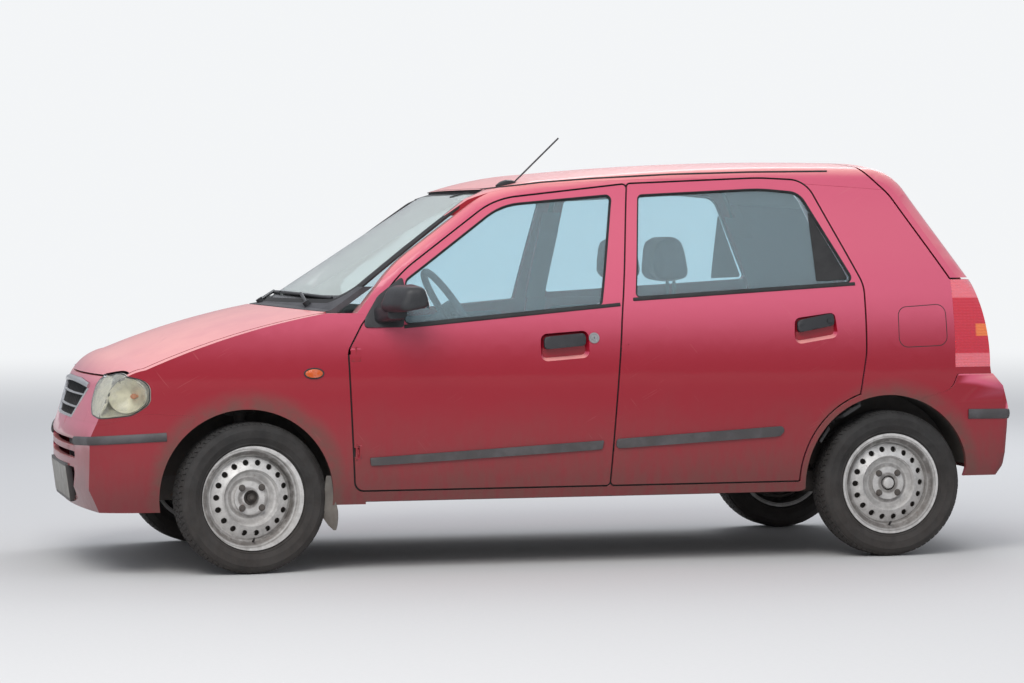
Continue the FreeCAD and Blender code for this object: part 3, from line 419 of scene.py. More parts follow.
@dataclass(frozen=True)
class Paint(Finish):
    """Old gloss paint: faded on top with a painted sky reflection there, a painted sky sheen and painted shade where it
    tilts up or down, dusty below, scratched in places.
    """

    # Colour of real sun fade mixed with a painted reflection of the sky, on faces that look up
    faded: Colour = (0.86, 0.36, 0.34)
    skylit: Colour = (0.7, 0.12, 0.21)
    shaded: Colour = (0.15, 0.004, 0.012)
    dust_top: float = 0.66
    dust: float = 0.62
    lining: Colour | None = None

    def wire(self, graph: Graph) -> Inputs:
        """Inputs of its shader."""
        across, up = graph.split(graph.add("ShaderNodeTexCoord").outputs["Normal"])[1:]
        place = graph.place()
        cloud = graph.noise(place, 2.3, 4.0, 0.6)
        # Mask of real sun fade and painted sky reflection on faces that look up, broken up by noise
        bleach_and_sky_sheen = graph.times(graph.ramp(up, 0.3, 0.95), graph.ramp(cloud, 0.3, 0.62, 0.7, 1.0))
        base = graph.mix(graph.ramp(up, 0.03, -0.2, 0.0, 0.7), self.colour, self.shaded)
        base = graph.mix(graph.ramp(up, 0.0, 0.3, 0.0, 0.8), base, self.skylit)
        # Painted sky reflection together with real fade on the top faces
        base = graph.mix(bleach_and_sky_sheen, base, self.faded)
        marks = graph.effect(Scratches, Amount=0.22)["Mask"]
        base = graph.mix(marks, base, (0.6, 0.2, 0.2))
        dust = graph.effect(Dust, Bottom=0.14, Top=self.dust_top, Breakup=0.24, Amount=self.dust)
        arch = graph.effect(ArchDirt, Reach=0.4, Amount=0.7)
        dirt = graph.most(dust["Mask"], arch["Mask"])
        base = graph.mix(dirt, base, DUST)
        worn = graph.most(dirt, graph.times(bleach_and_sky_sheen, 0.3))
        if self.lining:
            inwards = graph.times(across, graph.math("SIGN", graph.split(place)[1]))
            inside = graph.most(graph.ramp(inwards, -0.35, -0.6), graph.ramp(up, -0.6, -0.8))
            inside = graph.times(inside, graph.ramp(graph.split(place)[2], 0.32, 0.36))
            base = graph.mix(inside, base, self.lining)
            worn = graph.most(worn, inside)
        peel = graph.noise(place, 260.0, 2.0, 0.4)
        grit = graph.times(dirt, graph.noise(place, 900.0, 2.0, 0.6))
        height = graph.math("ADD", graph.times(peel, 0.05), grit)
        return {
            "Base Color": base,
            "Roughness": graph.ramp(worn, 0.0, 1.0, self.roughness, 0.85),
            "Coat Weight": graph.ramp(worn, 0.0, 0.8, 0.55, 0.0),
            "Specular IOR Level": 0.3,
            "Coat Roughness": 0.06,
            "Normal": graph.bump(height, 0.0006),
        }


@dataclass(frozen=True)
class Plastic(Finish):
    """Moulded plastic with grain, pale wear and some dust."""

    grain: float = 900.0
    depth: float = 0.0003
    worn: float = 0.25
    dust: float = 0.35

    def wire(self, graph: Graph) -> Inputs:
        """Inputs of its shader."""
        grain = graph.effect(Grain, Scale=self.grain)
        patch = graph.effect(Blotches, Scale=9.0, Low=0.42, High=0.68)["Mask"]
        pale = tuple(min(1.0, part * 2.2 + 0.02) for part in self.colour)
        base = graph.mix(graph.times(patch, self.worn), self.colour, pale)
        dust = graph.effect(Dust, Bottom=0.1, Top=0.8, Breakup=0.3, Amount=self.dust)["Mask"]
        return {
            "Base Color": graph.mix(dust, base, DUST),
            "Roughness": graph.ramp(grain["Cloud"], 0.2, 0.8, self.roughness, self.roughness + 0.12),
            "Normal": graph.bump(grain["Height"], self.depth, 0.6),
        }


@dataclass(frozen=True)
class Rubber(Finish):
    """Weathered rubber with fine cracks and a grey bloom."""

    bloom: Colour = (0.12, 0.115, 0.11)
    dust: float = 0.45

    def wire(self, graph: Graph) -> Inputs:
        """Inputs of its shader."""
        place = graph.place()
        patch = graph.noise(place, 16.0, 6.0, 0.65)
        base = graph.mix(graph.ramp(patch, 0.3, 0.7), self.colour, self.bloom)
        dust = graph.effect(Dust, Bottom=-0.1, Top=0.75, Breakup=0.5, Amount=self.dust)["Mask"]
        height = graph.math("ADD", graph.noise(place, 420.0, 3.0, 0.6), graph.noise(place, 90.0, 2.0))
        return {
            "Base Color": graph.mix(dust, base, DUST),
            "Roughness": graph.ramp(patch, 0.2, 0.8, self.roughness, 0.95),
            "Normal": graph.bump(height, 0.0004, 0.7),
        }


@dataclass(frozen=True)
class Metal(Finish):
    """Painted or bare metal with rust spots, and painted shade in rings about the wheel's middle where it has rings."""

    metallic: float = 0.6
    rust: float = 0.25
    dust: float = 0.5
    dust_top: float = 0.55
    # Rings of painted shade about the wheel's middle: radius, half width and strength
    rings: tuple[tuple[float, float, float], ...] = ()

    def wire(self, graph: Graph) -> Inputs:
        """Inputs of its shader."""
        place = graph.place()
        cloud = graph.noise(place, 34.0, 6.0, 0.65)
        dark = tuple(part * 0.55 for part in self.colour)
        base = graph.mix(graph.ramp(cloud, 0.35, 0.75, 0.0, 0.7), self.colour, dark)
        if self.rings:
            # Painted shade in the rim's grooves and round its bowl
            base = graph.mix(self.grime(graph, cloud), base, (0.07, 0.062, 0.055))
        spots = graph.times(graph.ramp(graph.noise(place, 75.0, 6.0, 0.7), 0.6, 0.68), self.rust)
        base = graph.mix(spots, base, (0.16, 0.06, 0.025))
        dust = graph.effect(Dust, Bottom=0.05, Top=self.dust_top, Breakup=0.25, Amount=self.dust)
        cover = graph.most(spots, dust["Mask"])
        return {
            "Base Color": graph.mix(dust["Mask"], base, DUST),
            "Metallic": graph.ramp(cover, 0.0, 0.6, self.metallic, 0.0),
            "Roughness": graph.ramp(cover, 0.0, 0.8, self.roughness, 0.9),
            "Normal": graph.bump(cloud, 0.0006, 0.5),
        }

    def grime(self, graph: Graph, cloud: Socket) -> Socket:
        """Painted shade in rings about the nearest wheel's middle, in the rim's grooves and round its bowl.

        Args:
            graph: The material's node tree.
            cloud: Noise that breaks the rings up.

        Returns:
            Share of dirt.
        """
        radius = graph.axle_distance()
        share = 0.0
        for middle, half, amount in self.rings:
            away = graph.math("ABSOLUTE", graph.math("SUBTRACT", radius, middle))
            share = graph.most(share, graph.ramp(away, half, half * 0.3, 0.0, amount))
        return graph.times(share, graph.ramp(cloud, 0.2, 0.6, 0.6, 1.0))


@dataclass(frozen=True)
class Glass(Finish):
    """Tinted window glass with a light film of dust."""

    film: float = 0.06
    clear: float = 0.87

    def wire(self, graph: Graph) -> Inputs:
        """Inputs of its shader."""
        place = graph.place()
        smear = graph.ramp(graph.noise(place, 7.0, 6.0, 0.65), 0.42, 0.75, 0.0, self.film)
        return {
            "Base Color": graph.mix(smear, self.colour, (0.8, 0.8, 0.78)),
            "Roughness": graph.ramp(smear, 0.0, 0.3, self.roughness, 0.22),
            "Transmission Weight": self.clear,
            "IOR": 1.35,
        }


@dataclass(frozen=True)
class Fabric(Finish):
    """Woven seat cloth with uneven yarn and a soft sheen."""

    second: Colour = (0.09, 0.11, 0.15)

    def wire(self, graph: Graph) -> Inputs:
        """Inputs of its shader."""
        cloth = graph.effect(Weave, Scale=1900.0)
        patch = graph.effect(Blotches, Scale=6.0, Low=0.35, High=0.7)["Mask"]
        base = graph.mix(graph.ramp(cloth["Yarn"], 0.3, 0.7), self.colour, self.second)
        worn = tuple(part * 1.5 for part in self.second)
        return {
            "Base Color": graph.mix(graph.times(patch, 0.3), base, worn),
            "Roughness": graph.ramp(cloth["Yarn"], 0.2, 0.8, self.roughness, 0.98),
            "Sheen Weight": 0.35,
            "Sheen Roughness": 0.5,
            "Normal": graph.bump(cloth["Height"], 0.0005, 0.7),
        }


@dataclass(frozen=True)
class Lens(Finish):
    """Clear or coloured lamp cover, hazed by the road."""

    haze: float = 0.25
    through: float = 1.0
    ribs: float = 0.0

    def wire(self, graph: Graph) -> Inputs:
        """Inputs of its shader."""
        place = graph.place()
        cloud = graph.ramp(graph.noise(place, 22.0, 5.0, 0.6), 0.35, 0.75, 0.0, self.haze)
        pale = tuple(0.5 + part / 2 for part in self.colour)
        across = graph.wave(graph.split(place)[2], LENS_RIB)
        height = graph.math("ADD", graph.times(across, self.ribs), cloud)
        return {
            "Base Color": graph.mix(cloud, self.colour, pale),
            "Roughness": graph.ramp(cloud, 0.0, 1.0, self.roughness, 0.5),
            "Transmission Weight": graph.ramp(cloud, 0.0, 1.0, self.through, self.through * 0.4),
            "IOR": 1.42,
            "Normal": graph.bump(height, 0.0006, 0.5),
        }


@dataclass(frozen=True)
class TailLens(Finish):
    """Tail lamp cover: red, with an orange and two clear pinkish bands."""

    amber: Colour = (0.85, 0.2, 0.04)
    clear: Colour = (0.8, 0.16, 0.2)

    def wire(self, graph: Graph) -> Inputs:
        """Inputs of its shader."""
        place = graph.place()
        x, _, z = graph.split(place)
        blend = graph.mix(graph.ramp(z, 0.939, 0.943), self.colour, self.clear)
        blend = graph.mix(graph.ramp(z, 0.74, 0.736), blend, self.clear)
        turn = graph.times(graph.ramp(z, 0.799, 0.802), graph.ramp(z, 0.847, 0.844))
        turn = graph.times(turn, graph.ramp(x, 1.535, 1.545))
        blend = graph.mix(turn, blend, self.amber)
        dust = graph.effect(Dust, Bottom=0.4, Top=1.1, Breakup=0.3, Amount=0.12)["Mask"]
        rib = graph.wave(z, TAIL_RIB)
        cell = graph.wave(x, TAIL_CELL)
        height = graph.math("ADD", graph.times(rib, 0.6), graph.times(cell, 0.3))
        return {
            "Base Color": graph.mix(dust, blend, DUST),
            "Roughness": graph.ramp(dust, 0.0, 0.4, self.roughness, 0.6),
            "Subsurface Weight": 0.25,
            "Subsurface Radius": (0.03, 0.006, 0.004),
            "Coat Weight": 1.0,
            "Coat Roughness": 0.05,
            "Normal": graph.bump(height, 0.0012, 0.5),
        }


RED_PAINT = Paint("red_paint", (0.31, 0.005, 0.018), 0.34)
BUMPER_PAINT = replace(RED_PAINT, name="bumper_paint", dust=0.34)
FRAME_PAINT = replace(RED_PAINT, name="frame_paint", lining=(0.15, 0.155, 0.165))
ROOF_PAINT = replace(RED_PAINT, name="roof_paint", lining=(0.4, 0.4, 0.38))
UNDERSIDE = Metal("underside_coat", (0.055, 0.05, 0.045), 0.75, metallic=0.0, rust=0.5, dust=0.75)
CASTING = Metal("dark_casting", (0.09, 0.085, 0.08), 0.7, metallic=0.2, rust=0.8, dust=0.5)
# Its rings paint shade into the rim's grooves and round its bowl
WHEEL_STEEL = Metal("wheel_steel", (0.74, 0.73, 0.71), 0.42, metallic=0.4, rust=0.3, dust=0.4,
                    rings=((0.158, 0.013, 0.85), (0.147, 0.006, 0.6), (0.172, 0.004, 0.5), (0.085, 0.013, 0.35),
                           (0.066, 0.01, 0.55), (0.03, 0.012, 0.7)))
ALLOY = Metal("cooler_alloy", (0.35, 0.35, 0.35), 0.45, metallic=0.8, rust=0.0, dust=0.4)
CHROME = Metal("grille_chrome", (0.62, 0.62, 0.63), 0.18, metallic=1.0, rust=0.15, dust=0.2)
TYRE_RUBBER = Rubber("tyre_rubber", (0.009, 0.009, 0.009), 0.72, bloom=(0.034, 0.034, 0.034), dust=0.25)
SEAL_RUBBER = Rubber("seal_rubber", (0.012, 0.012, 0.013), 0.6, bloom=(0.035, 0.035, 0.036), dust=0.15)
FLAP_RUBBER = Rubber("flap_rubber", (0.13, 0.125, 0.115), 0.85, bloom=(0.22, 0.21, 0.19), dust=0.7)
BLACK_TRIM = Plastic("black_trim", (0.022, 0.023, 0.026), 0.42)
GREY_TRIM = Plastic("grey_trim", (0.045, 0.045, 0.05), 0.5, worn=0.35)
CABIN_PLASTIC = Plastic("cabin_plastic", (0.05, 0.055, 0.065), 0.6, grain=600.0, dust=0.05)
WINDOW_GLASS = Glass("window_glass", (0.72, 0.9, 0.97), 0.0)
SCREEN_GLASS = Glass("screen_glass", (0.76, 0.84, 0.81), 0.0, clear=0.62)
SEAT_CLOTH = Fabric("seat_cloth", (0.03, 0.038, 0.055), 0.85)
LAMP_LENS = Lens("lamp_lens", (0.93, 0.92, 0.84), 0.05, haze=0.34)
AMBER_LENS = Lens("amber_lens", (0.8, 0.13, 0.015), 0.12, haze=0.5, through=0.25, ribs=0.6)
TAIL_LENS = TailLens("tail_lens", (0.6, 0.008, 0.035), 0.12)
LAMP_MIRROR = Metal("lamp_mirror", (0.8, 0.79, 0.7), 0.5, metallic=0.35, rust=0.0, dust=0.08)
BULB = Lens("amber_bulb", (0.9, 0.3, 0.1), 0.1, haze=0.3, through=0.3)
PLATE = Metal("blank_plate", (0.5, 0.5, 0.47), 0.5, metallic=0.15, rust=0.1, dust=0.7, dust_top=0.75)
LOCK_STEEL = Metal("lock_steel", (0.5, 0.5, 0.5), 0.3, metallic=0.9, rust=0.1, dust=0.1)
MIRROR_GLASS = Metal("mirror_glass", (0.85, 0.87, 0.88), 0.03, metallic=1.0, rust=0.0, dust=0.05)
CERAMIC_BAND = Plastic("ceramic_band", (0.008, 0.008, 0.009), 0.2, depth=0.00005, worn=0.05, dust=0.05)
STRIP_RUBBER = Plastic("strip_plastic", (0.05, 0.05, 0.055), 0.55, worn=0.45, dust=0.4)
HEADLINER = Fabric("headliner", (0.42, 0.42, 0.4), 0.9, second=(0.36, 0.36, 0.34))
DOOR_CLOTH = Fabric("door_cloth", (0.05, 0.055, 0.07), 0.85, second=(0.08, 0.09, 0.11))
HEATER_PRINT = Plastic("heater_print", (0.16, 0.07, 0.035), 0.5, depth=0.00002, worn=0.1, dust=0.0)
SEAT_SIDE = Fabric("seat_side", (0.018, 0.02, 0.026), 0.9, second=(0.035, 0.038, 0.046))

PAINTED = ("side_frames", "roof_panel", "front_panel", "front_bumper", "rear_bumper", "front_fenders", "bonnet",
           "tailgate", "door_front_left", "door_front_right", "door_rear_left", "door_rear_right")


class Shape:
    """Mesh data under construction, in the car's frame."""

    def __init__(self) -> None:
        """Start with no points."""
        self.points: list[Vector] = []
        self.faces: list[tuple[int, ...]] = []

    def grid(self, rows: Sequence[Sequence[Vector]], close_rows: bool = False, close_columns: bool = False) -> None:
        """Add a sheet of quads through rows of points.

        Args:
            rows: Rows with the same number of points.
            close_rows: Join the last row to the first.
            close_columns: Join the last point of each row to its first.
        """
        start, width = len(self.points), len(rows[0])
        for row in rows:
            self.points.extend(row)
        for i in range(len(rows) if close_rows else len(rows) - 1):
            for j in range(width if close_columns else width - 1):
                a, b = start + i * width, start + (i + 1) % len(rows) * width
                k = (j + 1) % width
                self.faces.append((a + j, a + k, b + k, b + j))

    def cap(self, ring: Sequence[Vector]) -> None:
        """Add a flat face over a ring of points."""
        self.faces.append(tuple(range(len(self.points), len(self.points) + len(ring))))
        self.points.extend(ring)

    def piece(self, name: str, finish: Finish, smooth: float = 40.0) -> Piece:
        """Make the object.

        Args:
            name: Its name.
            finish: Its finish.
            smooth: Largest angle of a smoothed edge, in degrees.

        Returns:
            The object, with its faces pointing outwards.
        """
        mesh = bpy.data.meshes.new(name)
        mesh.from_pydata([tuple(point) for point in self.points], [], self.faces)
        tidy(mesh)
        return placed(name, mesh, finish, smooth)


def tidy(mesh: bpy.types.Mesh) -> None:
    """Merge doubled points and turn all faces outwards.

    Args:
        mesh: Mesh to change.
    """
    work = bmesh.new()
    work.from_mesh(mesh)
    bmesh.ops.remove_doubles(work, verts=work.verts, dist=1e-6)
    bmesh.ops.recalc_face_normals(work, faces=work.faces)
    work.to_mesh(mesh)
    work.free()


def linked(name: str, data: bpy.types.ID) -> Piece:
    """New object in the scene."""
    piece = bpy.data.objects.new(name, data)
    bpy.context.scene.collection.objects.link(piece)
    return piece


def placed(name: str, mesh: bpy.types.Mesh, finish: Finish, smooth: float = 40.0) -> Piece:
    """Object of a mesh at the origin, smooth apart from its sharp edges.

    Args:
        name: Its name.
        mesh: Its mesh.
        finish: Its finish.
        smooth: Largest angle of a smoothed edge, in degrees.

    Returns:
        The object.
    """
    mesh.materials.clear()
    mesh.materials.append(finish.material())
    mesh.shade_smooth()
    mesh.set_sharp_from_angle(angle=math.radians(smooth))
    return linked(name, mesh)


def joined(name: str, parts: Sequence[Piece], finish: Finish, smooth: float = 40.0) -> Piece:
    """One piece from several meshes of the same finish.

    Args:
        name: Name of the new piece.
        parts: Objects at the origin, which are removed.
        finish: Its finish.
        smooth: Largest angle of a smoothed edge, in degrees.

    Returns:
        The new piece.
    """
    work = bmesh.new()
    for part in parts:
        work.from_mesh(part.data)
        bpy.data.objects.remove(part)
    return placed(name, meshed(name, work), finish, smooth)


def meshed(name: str, work: bmesh.types.BMesh) -> bpy.types.Mesh:
    """Mesh data from a bmesh, which is freed.

    Args:
        name: Its name.
        work: The bmesh.

    Returns:
        The mesh.
    """
    mesh = bpy.data.meshes.new(name)
    work.to_mesh(mesh)
    work.free()
    return mesh


def evaluated(piece: Piece) -> bpy.types.Mesh:
    """Plain mesh of a piece with its modifiers applied."""
    return bpy.data.meshes.new_from_object(piece.evaluated_get(bpy.context.evaluated_depsgraph_get()))


def loft(rows: Sequence[Sequence[Vector]], caps: Sequence[int] = (0, -1), closed: bool = False) -> Shape:
    """Tube through rings of points.

    Args:
        rows: Its rings.
        caps: Which of them are closed with a flat face.
        closed: Whether the last ring joins the first.

    Returns:
        The shape.
    """
    shape = Shape()
    shape.grid(rows, close_rows=closed, close_columns=True)
    for index in caps:
        shape.cap(rows[index])
    return shape


def rounded(corners: Sequence[tuple[float, float, float]], steps: int = 6) -> Outline:
    """Closed outline with round corners.

    Args:
        corners: Corner points with their radii.
        steps: Number of chords in each corner.

    Returns:
        The outline's points in order.
    """
    outline = []
    for i, (u, v, radius) in enumerate(corners):
        here = Vector((u, v))
        before = (Vector(corners[i - 1][:2]) - here).normalized()
        after = (Vector(corners[(i + 1) % len(corners)][:2]) - here).normalized()
        half_turn = (math.pi - before.angle(after)) / 2
        middle = here + (before + after).normalized() * (radius / math.cos(half_turn))
        first = here + before * radius * math.tan(half_turn) - middle
        turn = 2 * half_turn * (1 if before.cross(after) < 0 else -1)
        for step in range(steps + 1):
            spoke = Matrix.Rotation(turn * step / steps, 2) @ first
            outline.append(tuple(middle + spoke))
    return outline


def dense(outline: Outline, spacing: float, closed: bool = True) -> Outline:
    """Outline with more points on its long edges.

    Args:
        outline: Points in order.
        spacing: Largest distance between two points.
        closed: Whether the last point joins the first.

    Returns:
        The refined outline.
    """
    found = []
    count = len(outline) if closed else len(outline) - 1
    for i in range(count):
        start, end = Vector(outline[i]), Vector(outline[(i + 1) % len(outline)])
        pieces = max(1, math.ceil((end - start).length / spacing))
        found.extend(tuple(start.lerp(end, k / pieces)) for k in range(pieces))
    if not closed:
        found.append(tuple(outline[-1]))
    return found


@dataclass
class Skin:
    """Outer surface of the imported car, on which trim is placed."""

    nodes: Iterable[Piece]
    reach: float = 3.0

    def __post_init__(self) -> None:
        """Gather the nodes' triangles in one search tree."""
        points, faces = [], []
        for node in self.nodes:
            start = len(points)
            points.extend(vertex.co.copy() for vertex in node.data.vertices)
            faces.extend(tuple(start + i for i in face.vertices) for face in node.data.polygons)
        self.tree = BVHTree.FromPolygons(points, faces)

    def hit(self, start: Vector, direction: Vector) -> Spot:
        """First point of the surface on a line.

        Args:
            start: Start of the line.
            direction: Its direction.

        Returns:
            The point and the surface's outward direction there.
        """
        point, normal, _, _ = self.tree.ray_cast(start, direction)
        if point is None:
            spots = (start + direction * (self.reach * i / 150) for i in range(301))
            point, normal, _, _ = min(map(self.tree.find_nearest, spots), key=lambda found: found[3])
            log.warning("nearest point taken for the line from %s", tuple(round(v, 3) for v in start))
        return point, normal if normal.dot(direction) < 0 else -normal

    def side(self, x: float, z: float, hand: int = -1) -> Spot:
        """Point of a body side, by its place in side view."""
        return self.hit(Vector((x, hand * self.reach, z)), Vector((0.0, -hand, 0.0)))

    def end(self, y: float, z: float, hand: int = -1) -> Spot:
        """Point of the nose or the tail, by its place in front view."""
        return self.hit(Vector((hand * self.reach, y, z)), Vector((-hand, 0.0, 0.0)))

    def above(self, x: float, y: float) -> Spot:
        """Point of the surface seen from above."""
        return self.hit(Vector((x, y, self.reach)), Vector((0.0, 0.0, -1.0)))


def across(rail: Rail, index: int, closed: bool) -> Vector:
    """Direction across a rail, within the surface, to the left of its run.

    Args:
        rail: Points with surface directions.
        index: Which point.
        closed: Whether the rail is a loop.

    Returns:
        A unit vector.
    """
    last = len(rail) - 1
    before = rail[index - 1] if index > 0 or closed else rail[0]
    after = rail[(index + 1) % len(rail)] if index < last or closed else rail[last]
    run = (after[0] - before[0]).normalized()
    return rail[index][1].cross(run).normalized()


def ribbon(name: str, rail: Rail, section: Outline, finish: Finish, closed: bool = False) -> Piece:
    """Moulding of one section along a rail.

    Args:
        name: Its name.
        rail: Points with surface directions.
        section: Closed section in millimetres: across the rail, and out of the surface.
        finish: Its finish.
        closed: Whether the rail is a loop.

    Returns:
        The piece.
    """
    if closed:
        middle = sum((point for point, _ in rail), Vector()) / len(rail)
        pairs = zip(rail, [*rail[1:], rail[0]])
        turn = sum((a - middle).cross(b - middle).dot(normal) for (a, normal), (b, _) in pairs)
        rail = rail if turn > 0 else rail[::-1]
    rows = []
    for i, (point, normal) in enumerate(rail):
        aside = across(rail, i, closed)
        rows.append([point + aside * (a * MM) + normal * (out * MM) for a, out in section])
    return loft(rows, () if closed else (0, -1), closed).piece(name, finish)


def pillow(width: float, height: float) -> Outline:
    """Section of a low rounded moulding, in millimetres.

    Args:
        width: Its width across the rail.
        height: Its height above the surface.

    Returns:
        A closed section that dips just below the surface.
    """
    half = width / 2
    shares = (-1.0, -0.9, -0.6, 0.0, 0.6, 0.9, 1.0)
    rise = [height * (1 - 0.7 * abs(share) ** 3) for share in shares]
    return [(-half, -1.0), *((half * share, out) for share, out in zip(shares, rise)), (half, -1.0)]


def turned(profile: Rows, centre: Vector, axis: Vector, steps: int = 48, closed: bool = False) -> Shape:
    """Shape turned about an axis.

    Args:
        profile: Radius and distance along the axis of each point, in millimetres.
        centre: Point of the axis from which distances count.
        axis: Direction of the axis.
        steps: Number of steps round it.
        closed: Whether the profile is a loop.

    Returns:
        The shape, with its ends closed where their radius is zero.
    """
    profile = metres(profile)
    axis = axis.normalized()
    first = axis.orthogonal().normalized()
    second = axis.cross(first)
    rows = []
    for i in range(steps):
        angle = 2 * math.pi * i / steps
        spoke = first * math.cos(angle) + second * math.sin(angle)
        rows.append([centre + spoke * radius + axis * along for radius, along in profile])
    if closed:
        rows = [row + row[:1] for row in rows]
    shape = Shape()
    shape.grid(rows, close_rows=True)
    return shape


def metres(rows: Rows) -> list[tuple[float, ...]]:
    """Rows of millimetres as rows of metres."""
    return [tuple(value * MM for value in row) for row in rows]


def grown(outline: Outline, distance: float) -> Outline:
    """Closed outline moved outwards.

    Args:
        outline: Points in order.
        distance: How far, negative to shrink it.

    Returns:
        The moved outline.
    """
    pairs = zip(outline, [*outline[1:], outline[0]])
    hand = math.copysign(1.0, sum(a[0] * b[1] - b[0] * a[1] for a, b in pairs))
    found = []
    for i, point in enumerate(outline):
        before, after = Vector(outline[i - 1]), Vector(outline[(i + 1) % len(outline)])
        run = (after - before).normalized() * (distance * hand)
        found.append((point[0] + run.y, point[1] - run.x))
    return found


def outline_of(rows: Rows, spacing: float = 25.0) -> Outline:
    """Rounded outline in metres, with even points, from corner rows in millimetres."""
    return dense(rounded(metres(rows)), spacing * MM)


def patch(name: str, outline: Outline, place: Place, finish: Finish,
          top: float, foot: float = -0.0005, step: float = 0.03, edge: float = 0.001,
          dome: float = 0.0) -> Piece:
    """Plate of even thickness that follows a surface.

    Args:
        name: Its name.
        outline: Its closed outline in the two numbers that place takes.
        place: Gives the surface's point and direction at two numbers.
        finish: Its finish.
        top: Height of its outer face over the surface.
        foot: Height of its inner face.
        step: Largest size of its faces.
        edge: Width of the round at its outer edge.
        dome: Extra height in its middle.

    Returns:
        The piece.
    """
    work = bmesh.new()
    work.faces.new([work.verts.new((u, v, 0.0)) for u, v in outline])
    for axis in (0, 1):
        values = [point[axis] for point in outline]
        low, high = min(values), max(values)
        for i in range(1, math.ceil((high - low) / step)):
            spot, normal = [0.0] * 3, [0.0] * 3
            spot[axis], normal[axis] = low + i * step, 1.0
            geometry = [*work.verts, *work.edges, *work.faces]
            bmesh.ops.bisect_plane(work, geom=geometry, plane_co=spot, plane_no=normal)
    middle = sum((Vector(point) for point in outline), Vector((0.0, 0.0))) / len(outline)
    reach = max((Vector(point) - middle).length for point in outline)
    flat = {vertex: vertex.co.xy.copy() for vertex in work.verts}
    for vertex, spot in flat.items():
        point, normal = place(*spot)
        vertex.co = point + normal * foot
    raised = bmesh.ops.extrude_face_region(work, geom=list(work.faces))["geom"]
    for vertex in [item for item in raised if isinstance(item, bmesh.types.BMVert)]:
        source = min(flat, key=lambda other: (other.co - vertex.co).length_squared)
        point, normal = place(*flat[source])
        share = (flat[source] - middle).length / reach
        vertex.co = point + normal * (top + dome * max(0.0, 1 - share * share))
    if edge:
        upper = {item for item in raised if isinstance(item, bmesh.types.BMFace)}
        rim = [item for item in work.edges if sum(face in upper for face in item.link_faces) == 1]
        bmesh.ops.bevel(work, geom=rim, offset=edge, segments=2, affect="EDGES", profile=0.5)
    mesh = meshed(name, work)
    tidy(mesh)
    return placed(name, mesh, finish)


def plane(middle: Vector, up: Vector, normal: Vector) -> Place:
    """Flat surface across the car: from y and a number of steps up to a point and its direction."""
    return lambda y, v: (middle + AXLE * y + up * v, normal)


def carry(piece: Piece, body: str = "body") -> Piece:
    """Let a piece ride on a body.

    Args:
        piece: The piece.
        body: Its body.

    Returns:
        The piece.
    """
    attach(piece, body)
    log.info("%s rides on %s", piece.name, body)
    return piece


def pair(piece: Piece, body: str = "body") -> tuple[Piece, Piece]:
    """Let a left piece and its mirrored copy ride on their two bodies.

    Args:
        piece: The left piece.
        body: Its body; a body of the whole car carries both.

    Returns:
        The left and the right piece.
    """
    mesh = piece.data.copy()
    mesh.transform(Matrix.Scale(-1.0, 4, AXLE))
    mesh.flip_normals()
    other = linked(piece.name.replace("left", "right"), mesh)
    return carry(piece, body), carry(other, body.replace("left", "right"))


def ellipse(u: float, v: float, width: float, height: float, steps: int = 28) -> Outline:
    """Closed oval outline about a point."""
    turns = [2 * math.pi * i / steps for i in range(steps)]
    return [(u + width / 2 * math.cos(turn), v + height / 2 * math.sin(turn)) for turn in turns]


def box_outline(low: Sequence[float], high: Sequence[float], radius: float) -> Outline:
    """Rectangle with round corners, from millimetres."""
    (u, v), (p, q) = low, high
    return outline_of([(u, v, radius), (p, v, radius), (p, q, radius), (u, q, radius)], 1000.0)


